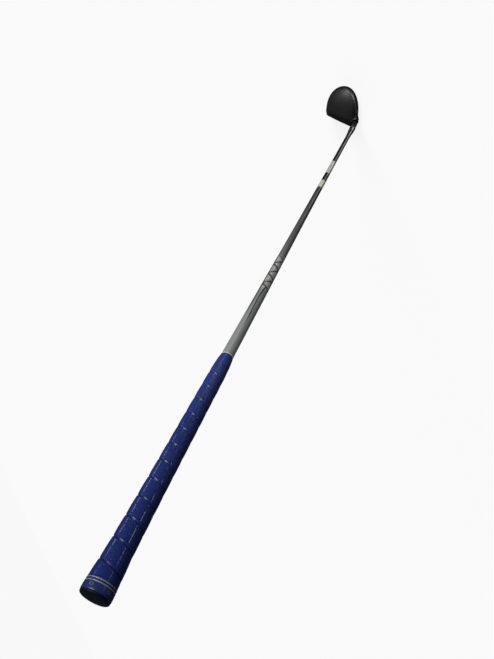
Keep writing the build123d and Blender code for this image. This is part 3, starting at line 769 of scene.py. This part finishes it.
TAPE, pnt, pbs = material("tape_paper", (0.50, 0.49, 0.45), 0.65)
s_, turns_, obj_ = axis_coords(pnt)
pnt.links.new(ramp(pnt, noise(pnt, obj_, 500.0, 3.0), [(0.3, (0.42, 0.41, 0.37)), (0.7, (0.56, 0.55, 0.51))]), pbs.inputs["Base Color"])
bump(pnt, pbs, noise(pnt, obj_, 1500.0, 2.0), 0.3, 0.0001)
band("finishing_tape_band", 776.9, 778.44, 0.16, TAPE, "finishing_tape")

# ------------------------------------------------------------------ ferrule and adapter
BLACK_GLOSS, bnt, bbs = material("ferrule_black", (0.006, 0.006, 0.0065), 0.20, coat=0.5, coat_rough=0.05)
s_, turns_, obj_ = axis_coords(bnt)
bnt.links.new(ramp(bnt, noise(bnt, obj_, 700.0, 2.0), [(0.3, (0.0045,) * 3), (0.7, (0.0085,) * 3)]), bbs.inputs["Base Color"])
bump(bnt, bbs, noise(bnt, obj_, 1400.0, 2.0), 0.06, 0.0001)
fs = np.linspace(0, 1, 26)
f_prof = [(71.08, 4.30), (71.08, 4.95), (71.16, 5.12), (71.35, 5.25), (71.7, 5.31)]
f_prof += [(float(s), float(r)) for s, r in zip(72.2 + fs * 28.0, np.interp(72.2 + fs * 28.0, [72, 75.5, 79, 84, 89, 95, 101], [5.31, 5.13, 4.95, 4.77, 4.61, 4.46, 4.34]))]
f_prof += [(100.7, 4.33), (100.95, 4.30), (101.0, 4.262)]
# two shallow turned grooves
f_prof = [(s, r - 0.16 * math.exp(-((s - 74.2) / 0.22) ** 2) - 0.16 * math.exp(-((s - 76.0) / 0.22) ** 2)) for s, r in f_prof]
extra = []
for s in (73.8, 74.0, 74.2, 74.4, 74.6, 75.6, 75.8, 76.0, 76.2, 76.4):
    extra.append((s, float(np.interp(s, [72, 75.5, 79], [5.31, 5.13, 4.95])) - 0.16 * math.exp(-((s - 74.2) / 0.22) ** 2) - 0.16 * math.exp(-((s - 76.0) / 0.22) ** 2)))
body_ = sorted([p for p in f_prof if 71.7 < p[0] < 100.7 and not any(abs(p[0] - e[0]) < 0.12 for e in extra)] + extra)
f_prof = [p for p in f_prof if p[0] <= 71.7] + body_ + [p for p in f_prof if p[0] >= 100.7]
fer = lathe("ferrule_turned", f_prof, BLACK_GLOSS, seg=128, angle=50.0)
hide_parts("ferrule")

ADAPTER, ant, abs_ = material("adapter_anodised", (0.022, 0.022, 0.023), 0.27, metal=0.75, coat=0.2, coat_rough=0.1)
s_, turns_, obj_ = axis_coords(ant)
acol = ramp(ant, noise(ant, obj_, 900.0, 2.0), [(0.3, (0.018, 0.018, 0.019)), (0.7, (0.030, 0.030, 0.030))])
aphi = screen_phi(ant, turns_)
# a plain pale stripe on the collar, partly a setting mark and partly a painted highlight
mk = math_node(ant, "MULTIPLY", smoothstep(ant, math_node(ant, "ABSOLUTE", math_node(ant, "SUBTRACT", aphi, 0.16)), 0.36, 0.22),
               math_node(ant, "MULTIPLY", smoothstep(ant, s_, 51.2, 52.2), smoothstep(ant, s_, 69.2, 68.2)))
acol = mix(ant, math_node(ant, "MULTIPLY", mk, 0.88), acol, (0.36, 0.355, 0.32))
ant.links.new(acol, abs_.inputs["Base Color"])
ant.links.new(math_node(ant, "SUBTRACT", 0.75, math_node(ant, "MULTIPLY", mk, 0.75)), abs_.inputs["Metallic"])
bump(ant, abs_, noise(ant, obj_, 1800.0, 2.0), 0.06, 0.0001)
a_prof = [(14.0, 2.60), (14.0, 4.30), (14.15, 4.60), (14.5, 4.90), (15.0, 4.95), (22.0, 4.95), (30.0, 4.95), (40.0, 4.95), (47.1, 4.95),
          (47.1, 5.70), (47.2, 5.92), (47.4, 6.06), (47.7, 6.10), (49.0, 6.10), (50.0, 6.10), (50.15, 6.02), (50.25, 5.90), (50.6, 5.88),
          (50.75, 5.95), (50.9, 6.03), (53.0, 5.99), (57.0, 5.90), (61.0, 5.82), (65.0, 5.74), (68.0, 5.68), (70.2, 5.63),
          (70.6, 5.55), (70.85, 5.40), (71.0, 5.15), (71.0, 4.30), (60.0, 4.27), (45.0, 4.27), (29.9, 4.27), (29.9, 2.60), (22.0, 2.60)]
ad = lathe("hosel_adapter", a_prof, ADAPTER, seg=128, angle=45.0)
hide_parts("hosel_sleeve")

# ------------------------------------------------------------------ head
LOFT_T = math.tan(LOFT)
TOE_X, HEEL_X, BACK_Y, LEAD_Y, RIM_Z, CROWN_Z, APEX_X = 41.5, -45.3, -42.35, 35.7, 14.6, 37.0, -3.3
CROWN_FRONT = LEAD_Y - 33.5 * LOFT_T - 9.5


def ring_xy(z, rho, a, inset=0.0):
    """Outline of the head at a height; z and rho are columns, a is a row of angles (mm)."""
    cx, cy = APEX_X + 4.0, 2.0
    toe = cx + rho * (TOE_X - cx) - inset
    heel = cx + rho * (HEEL_X - cx) + inset
    back = cy + rho * (BACK_Y - cy) + inset
    fwd = cy + rho ** 0.92 * (LEAD_Y + 12.0 - cy) - inset
    xa = APEX_X + 4.0 * (1 - rho)
    yt = cy + rho * (5.0 - cy)
    yh = cy + rho * (14.0 - cy)
    c, s = np.cos(a), np.sin(a)
    right, front = c >= 0, s >= 0
    half = np.where(right, toe - xa, xa - heel)
    n = np.where(front, np.where(right, 3.0, 2.5), 2.0)
    w = np.abs(c) ** 1.5
    ym = np.where(right, yt, yh) * w + (yt + yh) / 2 * (1 - w)
    depth = np.where(front, fwd - ym, ym - back)
    x = xa + np.sign(c) * half * np.abs(c) ** (2 / n)
    y = ym + np.sign(s) * depth * np.abs(s) ** (2 / n)
    return x, y


def head_rows(nu, nl):
    rows = []
    for k in range(nu, 0, -1):                      # from the top down to just above the rim
        p = math.radians(90.0) * k / nu * 0.992
        rho = math.cos(p) ** (2 / 1.8)
        rows.append((RIM_Z + (CROWN_Z - RIM_Z) * math.sin(p) ** (2 / 1.8), rho))
    pmax = math.asin(0.963 ** (2.6 / 2))
    for k in range(0, nl + 1):
        p = pmax * k / nl
        t = math.sin(p) ** (2 / 2.6)
        rows.append((RIM_Z * (1 - t / 0.963), math.cos(p) ** (2 / 2.6)))
    return np.array(rows)


def neck_radius(s):
    return np.interp(s, [-6, 3, 10, 20, 28, 37, 60], [5.3, 5.3, 5.7, 6.4, 6.6, 6.3, 6.3])


def neck_dist(P):
    """Distance outside the hosel's wall, P in mm."""
    d = P - FOOT * 1e3
    s = d @ UP
    rad = np.sqrt(np.maximum((d * d).sum(-1) - s * s, 0))
    return rad - neck_radius(s), s


BLEND = 15.0


def blend_at(s):
    """Size of the blend between the hosel and the head, by distance along the axis."""
    return np.interp(s, [-5, 12, 26, 36, 45], [14.0, 14.0, 11.5, 8.0, 5.0])


def head_form():
    """Outer skin of the head in mm: grid of points with its quads, flattened on the face plane."""
    nu, nl, na = ((72, 40, 400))
    R = head_rows(nu, nl)
    # steps evenly spaced round the outline
    u = np.linspace(0, 1, na, endpoint=False)
    a = 2 * np.pi * u
    x, y = ring_xy(R[:, 0][:, None], R[:, 1][:, None], a[None, :])
    z = np.broadcast_to(R[:, 0][:, None], x.shape).copy()
    # sole: rings that close in the middle
    xs, ys, zs = [x], [y], [z]
    for f in (0.8, 0.6, 0.4, 0.22, 0.08):
        xs.append((x[-1] - 0.8) * f + 0.8)
        ys.append((y[-1] - 2.0) * f + 2.0)
        zs.append(np.zeros_like(x[-1]))
    X = np.concatenate([xs[0]] + [q[None] for q in xs[1:]])
    Y = np.concatenate([ys[0]] + [q[None] for q in ys[1:]])
    Z = np.concatenate([zs[0]] + [q[None] for q in zs[1:]])
    k = 0.30 + 0.50 * np.clip(1 - Z / 9.0, 0, 1) + 3.9 * step(X, 31.5, 40.0)
    yp = LEAD_Y - Z * LOFT_T
    m = np.minimum(Y, yp)
    Y = m - k * np.log(np.exp(-(Y - m) / k) + np.exp(-(yp - m) / k))
    # the toe turns in a little before it meets the face
    tuck = np.clip((Y - (yp - 9.5)) / 9.5, 0, 1)
    X = X - 2.7 * tuck ** 2 * step(X, 22.0, 36.0)
    P = np.stack([X, Y, Z], -1)
    rows = P.shape[0]
    pts = P.reshape(-1, 3)
    faces = grid_faces(rows, na)
    top, bot = len(pts), len(pts) + 1
    pts = np.concatenate([pts, [P[0].mean(0)], [P[-1].mean(0)]])
    for i in range(na):
        j = (i + 1) % na
        faces.append((top, j, i))
        faces.append((bot, (rows - 1) * na + i, (rows - 1) * na + j))
    return pts, faces


def signed_to_poly(P2, poly):
    """Signed distance to a closed outline, negative inside."""
    out = np.empty(len(P2))
    A = poly
    Bq = np.roll(poly, -1, axis=0)
    e = Bq - A
    L2 = (e * e).sum(1)
    for i0 in range(0, len(P2), 4000):
        p = P2[i0:i0 + 4000]
        ap = p[:, None, :] - A[None]
        t = np.clip((ap * e[None]).sum(-1) / L2, 0, 1)
        d = ap - e[None] * t[..., None]
        dist = np.sqrt((d * d).sum(-1)).min(1)
        yc = (A[None, :, 1] > p[:, None, 1]) != (Bq[None, :, 1] > p[:, None, 1])
        with np.errstate(divide="ignore", invalid="ignore"):
            xc = A[None, :, 0] + (p[:, None, 1] - A[None, :, 1]) * e[None, :, 0] / e[None, :, 1]
        inside = ((yc & (p[:, None, 0] < xc)).sum(1) % 2) == 1
        out[i0:i0 + 4000] = np.where(inside, -dist, dist)
    return out


def crown_outline():
    a = np.linspace(0, 2 * np.pi, 720, endpoint=False)
    t = (19.0 - RIM_Z) / (CROWN_Z - RIM_Z)
    rho = (1 - t ** 1.8) ** (1 / 1.8)
    x, y = ring_xy(19.0, rho, a, 3.2)
    P = np.stack([x, y], -1)
    keep = P[P[:, 1] <= CROWN_FRONT - 5.0]
    right = keep[keep[:, 0] > 0]
    left = keep[keep[:, 0] <= 0]
    # points run from the toe side round the back to the heel side
    right = right[np.argsort(-right[:, 1])]
    left = left[np.argsort(left[:, 1])]
    xr, xl = right[0, 0], left[-1, 0]
    arc_r = [(xr - 5.0 + 5.0 * math.cos(q), CROWN_FRONT - 5.0 + 5.0 * math.sin(q)) for q in np.linspace(math.pi / 2, 0.08, 10)]
    arc_l = [(xl + 5.0 - 5.0 * math.cos(q), CROWN_FRONT - 5.0 + 5.0 * math.sin(q)) for q in np.linspace(0.08, math.pi / 2, 10)]
    return np.array(arc_r + right.tolist() + left.tolist() + arc_l)


CROWN_LINE = crown_outline()


def make_bm(pts, faces):
    me = bpy.data.meshes.new("tmp")
    me.from_pydata([tuple(v) for v in pts], [], faces)
    me.update()
    bm = bmesh.new()
    bm.from_mesh(me)
    bpy.data.meshes.remove(me)
    bmesh.ops.remove_doubles(bm, verts=bm.verts, dist=0.002)
    bmesh.ops.recalc_face_normals(bm, faces=bm.faces)
    return bm


def co_array(bm):
    bm.verts.ensure_lookup_table()
    return np.array([v.co[:] for v in bm.verts])


def cut_by_field(bm, field, level=0.0, snap=0.22, where=None):
    """Split the faces along field == level. field maps an array of points to values."""
    bm.verts.ensure_lookup_table()
    P = co_array(bm)
    val = field(P) - level
    ok = np.ones(len(P), bool) if where is None else where(P)
    bm.verts.index_update()
    crossing = []
    for e in bm.edges:
        i, j = e.verts[0].index, e.verts[1].index
        if not (ok[i] and ok[j]):
            continue
        if val[i] * val[j] < 0:
            crossing.append((e, i, j))
    # points already close to the line slide onto it
    on = set()
    move = {}
    for e, i, j in crossing:
        t = val[i] / (val[i] - val[j])
        q = i if t < snap else (j if t > 1 - snap else -1)
        if q >= 0:
            w = P[i] + (P[j] - P[i]) * t
            dist = float(np.linalg.norm(w - P[q]))
            if q not in move or dist < move[q][0]:
                move[q] = (dist, w)
    for q, (dd, w) in move.items():
        bm.verts[q].co = w
        val[q] = 0.0
        on.add(bm.verts[q])
    for k in np.where((np.abs(val) < 1e-6) & ok)[0]:
        on.add(bm.verts[int(k)])
    ref = list(bm.verts)
    for e, i, j in crossing:
        if val[i] * val[j] < 0:
            t = val[i] / (val[i] - val[j])
            ne, nv = bmesh.utils.edge_split(e, ref[i], t)
            on.add(nv)
    done = []
    for f in list({f for v in on for f in v.link_faces}):
        vs = [v for v in f.verts if v in on]
        if len(vs) == 2:
            a, b = vs
            if not any(e.other_vert(a) is b for e in a.link_edges):
                done.append((f, a, b))
    for f, a, b in done:
        try:
            bmesh.utils.face_split(f, a, b)
        except ValueError:
            pass
    return on


def inside_faces(bm, field, level=0.0, where=None):
    bm.faces.ensure_lookup_table()
    C = np.array([f.calc_center_median()[:] for f in bm.faces])
    v = field(C) < level
    if where is not None:
        v &= where(C)
    return v


def f_crown(P):
    return signed_to_poly(P[:, :2], CROWN_LINE)


def w_top(P):
    return P[:, 2] > RIM_Z + 1.0


def f_face(P):
    ax = np.abs(P[:, 0] + 1.5) / 32.12
    az = np.abs(P[:, 2] - 17.6) / 11.72
    q = (ax ** 2.6 + az ** 2.6) ** (1 / 2.6)
    g = np.sqrt((P[:, 0] + 1.5) ** 2 + (P[:, 2] - 17.6) ** 2) + 1e-9
    return (q - 1) * g / np.maximum(q, 1e-6)


def w_face(P):
    return P[:, 1] > (LEAD_Y - P[:, 2] * LOFT_T) - 1.2


W_AT = np.array([4.0, -23.0, 1.25])
W_AX = np.array([0.0, -math.sin(math.radians(10)), -math.cos(math.radians(10))])


def f_weight(P):
    d = P - W_AT
    s = d @ W_AX
    return np.sqrt(np.maximum((d * d).sum(1) - s * s, 0)) - 8.9


def w_sole(P):
    return P[:, 2] < 9.0


def f_neck(P):
    return neck_dist(P)[0]


def build_head():
    from mathutils.bvhtree import BVHTree
    pts, faces = head_form()
    bm = make_bm(pts, faces)
    bm.normal_update()
    N = np.array([v.normal[:] for v in bm.verts])
    P = co_array(bm)
    tree = BVHTree.FromBMesh(bm)

    # blend of the skin into the hosel
    h = np.zeros(len(P))
    near = neck_dist(P)[0] < BLEND + 2
    for it in range(14):
        b, s = neck_dist(P + N * h[:, None])
        u = b - h
        hn = blend_at(s) / 4 * np.clip(1 - np.abs(u) / blend_at(s), 0, 1) ** 2
        h = np.where(near & (s < 60), hn, 0.0)
    b0, s0 = neck_dist(P)
    past = np.clip(-b0, 0, None)
    h = h - 0.5 * past * (near & (s0 < 44))
    h = np.where(s0 > 44, 0, h)
    fadez = step(P[:, 2], 0.5, 9.0)
    P1 = P + N * (h * fadez)[:, None]
    P1[:, 2] = np.maximum(P1[:, 2], 0.0)
    yp = LEAD_Y - P1[:, 2] * LOFT_T
    P1[:, 1] = np.minimum(P1[:, 1], yp)
    # front strip: a shallow step down between the topline and the crown shell
    d = signed_to_poly(P1[:, :2], CROWN_LINE)
    front = (P1[:, 1] > CROWN_FRONT - 6.0) & (N[:, 2] > 0.5)
    edge = (LEAD_Y - P1[:, 2] * LOFT_T) - P1[:, 1]
    drop = 0.55 * step(d, -0.6, 0.0) * step(edge, 0.7, 2.2) * step(P1[:, 1], CROWN_FRONT - 3.0, CROWN_FRONT) * front
    bn = neck_dist(P1)[0]
    drop *= step(bn, 2.0, 7.0) * step(TOE_X - 1.0 - P1[:, 0], 1.0, 8.0)
    P1 = P1 - N * drop[:, None]
    for v, c in zip(bm.verts, P1):
        v.co = c

    # hole for the hosel
    kill = [f for f, k in zip(bm.faces, inside_faces(bm, f_neck, -1.2)) if k]
    bmesh.ops.delete(bm, geom=kill, context="FACES")
    # line between the crown shell and the body
    for lev in (0.0, -0.35, -0.8, -1.4):
        cut_by_field(bm, f_crown, lev, where=w_top)
    sel = inside_faces(bm, f_crown, 0.0, w_top)
    bm.faces.ensure_lookup_table()
    crown_idx = [i for i, k in enumerate(sel) if k]
    crown = bm.copy()
    crown.faces.ensure_lookup_table()
    keep = set(crown_idx)
    bmesh.ops.delete(crown, geom=[f for f in crown.faces if f.index not in keep], context="FACES")
    bm.faces.ensure_lookup_table()
    bmesh.ops.delete(bm, geom=[bm.faces[i] for i in crown_idx], context="FACES")
    return bm, crown


def roll_edge(bm, field, reach, depth, proud=0.0):
    """Round the rim of an open skin over, and lift the rest a little."""
    bm.normal_update()
    P = co_array(bm)
    N = np.array([v.normal[:] for v in bm.verts])
    d = -field(P)
    t = np.clip(1 - d / reach, 0, 1)
    off = proud - depth * (1 - np.sqrt(np.clip(1 - t * t, 0, 1)))
    P = P + N * off[:, None]
    for v, c in zip(bm.verts, P):
        v.co = c


def thicken(bm, t):
    """Closed solid from an open skin, t inwards."""
    bm.normal_update()
    bm.verts.index_update()
    faces = list(bm.faces)
    P = co_array(bm)
    N = np.array([v.normal[:] for v in bm.verts])
    bnd = [e for e in bm.edges if len(e.link_faces) == 1]
    nv = [bm.verts.new(tuple(p - n * t)) for p, n in zip(P, N)]
    bm.verts.ensure_lookup_table()
    old = list(bm.verts)
    for f in faces:
        bm.faces.new([nv[v.index] for v in reversed(f.verts)])
    for e in bnd:
        f = e.link_faces[0]
        for lp in f.loops:
            if lp.edge == e:
                a, b = lp.vert, lp.link_loop_next.vert
                try:
                    bm.faces.new((b, a, nv[a.index], nv[b.index]))
                except ValueError:
                    pass
                break


def finish_mesh(bm, name, mat, body, angle):
    for v in bm.verts:
        v.co = v.co * 1e-3
    loose = [v for v in bm.verts if not v.link_faces]
    bmesh.ops.delete(bm, geom=loose, context="VERTS")
    me = bpy.data.meshes.new(name)
    bm.to_mesh(me)
    bm.free()
    ob = bpy.data.objects.new(name, me)
    bpy.context.scene.collection.objects.link(ob)
    smooth(ob, angle)
    me.materials.append(mat)
    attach(ob, body)
    return ob


def neck_mesh(tree_pts, tree_faces):
    """Hosel of the head: a turned wall that swells into the skin."""
    from mathutils.bvhtree import BVHTree
    tree = BVHTree.FromPolygons([tuple(p) for p in tree_pts], tree_faces)
    seg = 128
    a = np.linspace(0, 2 * np.pi, seg, endpoint=False)
    s_out = np.concatenate([np.linspace(-5, 20, 40), np.linspace(20.6, 45.6, 44)])
    prof = [(4.1, 10.0), (4.1, 4.0), (4.1, -5.0), (4.5, -5.0)]
    n_in = len(prof)
    prof += [(float(neck_radius(s)), float(s)) for s in s_out]
    n_out = len(s_out)
    prof += [(6.30, 46.1), (6.26, 46.45), (6.10, 46.75), (5.85, 46.95), (5.60, 47.0), (5.30, 46.85), (5.05, 46.5), (5.01, 46.2),
             (5.01, 40.0), (5.01, 30.0), (5.01, 13.2), (4.0, 13.2), (2.7, 13.2), (2.7, 11.5), (2.7, 10.0), (3.4, 10.0)]
    V = []
    for i, (r, s) in enumerate(prof):
        d = np.cos(a)[:, None] * E1 + np.sin(a)[:, None] * E2
        base = FOOT * 1e3 + UP * s
        p = base + d * r
        if n_in <= i < n_in + n_out:
            h = np.zeros(seg)
            for it in range(12):
                q = p + d * h[:, None]
                av = np.empty(seg)
                for j in range(seg):
                    loc, nrm, idx, dist = tree.find_nearest(Vector(q[j]))
                    sg = 1.0 if (Vector(q[j]) - loc).dot(nrm) >= 0 else -1.0
                    av[j] = sg * dist
                u = av - h
                hn = blend_at(s) / 4 * np.clip(1 - np.abs(u) / blend_at(s), 0, 1) ** 2
                h = hn
                if hn.max() < 1e-6:
                    break
            av0 = av
            h = h - 0.5 * np.clip(-u - 0.0, 0, 6) * (u < 0)
            lim = step(q[:, 2], 0.5, 9.0)
            p = p + d * (np.maximum(h, -1.5) * lim)[:, None]
            # the lower edge of the wall is rounded
            tt = np.clip((3.2 - p[:, 2]) / 1.6, 0, 1)
            p = p - d * (0.7 * (1 - np.sqrt(1 - tt * tt)))[:, None]
        # nothing goes under the sole: points slide up along the wall
        lo = 1.6
        zz_ = p[:, 2]
        lift = np.where(zz_ < lo, (lo - zz_) / UP[2], 0.0)
        p = p + UP * lift[:, None]
        V.append(p)
    verts = np.concatenate(V)
    faces = grid_faces(len(prof), seg, wrap_rows=True)
    return verts, faces


body_bm, crown_bm = build_head()

# crown shell: rounded rim, slightly proud of the body
for v in crown_bm.verts:
    pass
roll_edge(crown_bm, f_crown, 1.4, 0.55, 0.12)
thicken(crown_bm, 1.3)

CROWN_MAT, knt, kbs = material("crown_matte", (0.010, 0.010, 0.0105), 0.46, spec=0.26)
tc_ = node(knt, "ShaderNodeTexCoord")
ko = tc_.outputs["Object"]
knt.links.new(ramp(knt, noise(knt, ko, 300.0, 3.0), [(0.3, (0.0095, 0.0095, 0.0100)), (0.7, (0.0135, 0.0135, 0.0140))]), kbs.inputs["Base Color"])
knt.links.new(ramp(knt, noise(knt, ko, 1200.0, 2.0), [(0.3, (0.44,) * 3), (0.7, (0.52,) * 3)]), kbs.inputs["Roughness"])
bump(knt, kbs, noise(knt, ko, 2600.0, 2.0), 0.10, 0.00006)

BODY_MAT, ynt, ybs = material("head_body_black", (0.009, 0.009, 0.0095), 0.38, coat=0.10, coat_rough=0.18, spec=0.26)
tc_ = node(ynt, "ShaderNodeTexCoord")
yo = tc_.outputs["Object"]
ynt.links.new(ramp(ynt, noise(ynt, yo, 260.0, 3.0), [(0.3, (0.0050, 0.0050, 0.0054)), (0.7, (0.0080, 0.0080, 0.0084))]), ybs.inputs["Base Color"])
# fine slanted ribs on the strip behind the topline
sep = node(ynt, "ShaderNodeSeparateXYZ")
ynt.links.new(yo, sep.inputs[0])
xm = math_node(ynt, "MULTIPLY", sep.outputs[0], 1000.0)
ym_ = math_node(ynt, "MULTIPLY", sep.outputs[1], 1000.0)
zm = math_node(ynt, "MULTIPLY", sep.outputs[2], 1000.0)
rib = math_node(ynt, "SINE", math_node(ynt, "MULTIPLY", math_node(ynt, "ADD", xm, math_node(ynt, "MULTIPLY", ym_, 1.2)), 2 * math.pi / 1.25))
zone_ = math_node(ynt, "MULTIPLY", smoothstep(ynt, zm, 24.0, 28.0),
                  math_node(ynt, "MULTIPLY", smoothstep(ynt, ym_, CROWN_FRONT + 0.4, CROWN_FRONT + 1.4),
                            smoothstep(ynt, math_node(ynt, "ADD", ym_, math_node(ynt, "MULTIPLY", zm, LOFT_T)), LEAD_Y - 1.2, LEAD_Y - 2.4)))
xz_ = math_node(ynt, "MULTIPLY", smoothstep(ynt, xm, -34.0, -30.0), smoothstep(ynt, xm, 36.0, 32.0))
ribh = math_node(ynt, "MULTIPLY", math_node(ynt, "MULTIPLY", rib, zone_), xz_)
hh = math_node(ynt, "ADD", math_node(ynt, "MULTIPLY", ribh, 1.0), math_node(ynt, "MULTIPLY", noise(ynt, yo, 1600.0, 2.0), 0.25))
bump(ynt, ybs, hh, 0.45, 0.00012)

crown_ob = finish_mesh(crown_bm, "crown_cover", CROWN_MAT, "head", 38.0)
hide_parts("crown_shell")

# body: openings for the face plate and for the weight, walls, hosel
cut_by_field(body_bm, f_face, 0.0, where=w_face)
kill = [f for f, k in zip(body_bm.faces, inside_faces(body_bm, f_face, 0.0, w_face)) if k]
bmesh.ops.delete(body_bm, geom=kill, context="FACES")
cut_by_field(body_bm, f_weight, 0.0, where=w_sole)
kill = [f for f, k in zip(body_bm.faces, inside_faces(body_bm, f_weight, 0.0, w_sole)) if k]
bmesh.ops.delete(body_bm, geom=kill, context="FACES")
# cup under the weight
loop = [e for e in body_bm.edges if len(e.link_faces) == 1
        and abs(float(f_weight(np.array([e.verts[0].co[:]]))[0])) < 0.35 and abs(float(f_weight(np.array([e.verts[1].co[:]]))[0])) < 0.35
        and e.verts[0].co.z < 9]


def extrude_loop(bm, edges, fn):
    r = bmesh.ops.extrude_edge_only(bm, edges=edges)
    nv = [g for g in r["geom"] if isinstance(g, bmesh.types.BMVert)]
    for v in nv:
        v.co = fn(np.array(v.co[:]))
    return [g for g in r["geom"] if isinstance(g, bmesh.types.BMEdge) and len(g.link_faces) == 1]


def to_cyl(r, depth):
    def fn(p):
        d = p - W_AT
        s = float(d @ W_AX)
        rad = d - W_AX * s
        rad = rad / (np.linalg.norm(rad) + 1e-12)
        return W_AT + rad * r - W_AX * depth
    return fn


def slide_in(r, dn):
    def fn(p):
        d = p - W_AT
        s = float(d @ W_AX)
        rad = d - W_AX * s
        rad = rad / (np.linalg.norm(rad) + 1e-12)
        return W_AT + rad * r + W_AX * (s - dn)
    return fn


loop = extrude_loop(body_bm, loop, slide_in(8.72, 0.25))
loop = extrude_loop(body_bm, loop, to_cyl(8.70, 2.2))
loop = extrude_loop(body_bm, loop, to_cyl(8.70, 4.75))
loop = extrude_loop(body_bm, loop, to_cyl(5.0, 4.75))
loop = extrude_loop(body_bm, loop, to_cyl(2.06, 4.75))
loop = extrude_loop(body_bm, loop, to_cyl(2.06, 8.6))
bmesh.ops.recalc_face_normals(body_bm, faces=body_bm.faces)
skin_pts, skin_faces = head_form()
thicken(body_bm, 1.5)
nv_, nf_ = neck_mesh(skin_pts, skin_faces)
neck_bm = make_bm(nv_, nf_)
tmp = bpy.data.meshes.new("tmp_neck")
neck_bm.to_mesh(tmp)
neck_bm.free()
body_bm.from_mesh(tmp)
bpy.data.meshes.remove(tmp)
body_ob = finish_mesh(body_bm, "head_body_cast", BODY_MAT, "head", 38.0)
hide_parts("head_body")

# ------------------------------------------------------------------ small parts
def obj_coords(nt):
    tc = node(nt, "ShaderNodeTexCoord")
    return tc.outputs["Object"]


def steel(name, lo, hi, rough, metal=1.0, scale=900.0, strength=0.08):
    """Machined metal: tone and roughness vary with a fine grain."""
    m, nt, b = material(name, lo, rough, metal=metal)
    o = obj_coords(nt)
    nt.links.new(ramp(nt, noise(nt, o, scale, 3.0), [(0.3, lo), (0.7, hi)]), b.inputs["Base Color"])
    nt.links.new(ramp(nt, noise(nt, o, scale * 2.2, 2.0), [(0.3, (rough - 0.06,) * 3), (0.7, (rough + 0.08,) * 3)]), b.inputs["Roughness"])
    return m, nt, b, o


FACE_MAT, fnt, fbs, fo = steel("face_steel", (0.085, 0.086, 0.088), (0.115, 0.116, 0.118), 0.36, 0.55)
# brushed from heel to toe
stretch = node(fnt, "ShaderNodeMapping")
fnt.links.new(fo, stretch.inputs["Vector"])
stretch.inputs["Scale"].default_value = (0.03, 1.0, 1.0)
bump(fnt, fbs, noise(fnt, stretch.outputs[0], 5200.0, 2.0), 0.22, 0.00004)
set_mat("face_plate", FACE_MAT)

WEIGHT_MAT, wnt, wbs, wo = steel("weight_steel", (0.30, 0.30, 0.305), (0.40, 0.40, 0.405), 0.30)
# turned rings about the weight's own axis
wsub = node(wnt, "ShaderNodeVectorMath", operation="SUBTRACT")
wnt.links.new(wo, wsub.inputs[0])
wsub.inputs[1].default_value = tuple(float(c) for c in W_AT * 0.001) if max(abs(float(c)) for c in W_AT) > 1.0 else tuple(float(c) for c in W_AT)
wdot = node(wnt, "ShaderNodeVectorMath", operation="DOT_PRODUCT")
wnt.links.new(wsub.outputs[0], wdot.inputs[0])
wdot.inputs[1].default_value = tuple(float(c) for c in W_AX)
wlen = node(wnt, "ShaderNodeVectorMath", operation="LENGTH")
wnt.links.new(wsub.outputs[0], wlen.inputs[0])
wr = math_node(wnt, "SQRT", math_node(wnt, "MAXIMUM", math_node(wnt, "SUBTRACT", math_node(wnt, "POWER", wlen.outputs["Value"], 2.0),
                                                               math_node(wnt, "POWER", wdot.outputs["Value"], 2.0)), 0.0))
bump(wnt, wbs, math_node(wnt, "SINE", math_node(wnt, "MULTIPLY", wr, 2 * math.pi / 0.00028)), 0.10, 0.00002)
set_mat("sole_weight", WEIGHT_MAT)

SCREW_MAT, _nt, _b, _o = steel("screw_black_oxide", (0.045, 0.045, 0.047), (0.075, 0.075, 0.078), 0.33, 0.9, 1400.0)
bump(_nt, _b, noise(_nt, _o, 2400.0, 2.0), 0.10, 0.00004)
set_mat("hosel_screw", SCREW_MAT)
set_mat("weight_screw", SCREW_MAT)
WASHER_MAT, _nt, _b, _o = steel("washer_steel", (0.36, 0.36, 0.365), (0.46, 0.46, 0.465), 0.28, 1.0, 1200.0)
bump(_nt, _b, noise(_nt, _o, 2400.0, 2.0), 0.10, 0.00004)
set_mat("screw_washer", WASHER_MAT)
PLUG_MAT, _nt, _b = material("plug_cork", (0.22, 0.14, 0.08), 0.8)
_o = obj_coords(_nt)
_nt.links.new(ramp(_nt, noise(_nt, _o, 1100.0, 4.0), [(0.35, (0.14, 0.085, 0.045)), (0.60, (0.27, 0.175, 0.10))]), _b.inputs["Base Color"])
bump(_nt, _b, noise(_nt, _o, 1400.0, 3.0), 0.4, 0.0001)
set_mat("tip_plug", PLUG_MAT)
set_mat("grip_tape", TAPE)
UNDER_MAT, _nt, _b = material("underlisting_rubber", (0.006, 0.008, 0.022), 0.62)
_o = obj_coords(_nt)
_nt.links.new(ramp(_nt, noise(_nt, _o, 500.0, 3.0), [(0.3, (0.0045, 0.006, 0.017)), (0.7, (0.008, 0.0105, 0.029))]), _b.inputs["Base Color"])
bump(_nt, _b, noise(_nt, _o, 1800.0, 2.0), 0.25, 0.00006)
set_mat("grip_underlisting", UNDER_MAT)
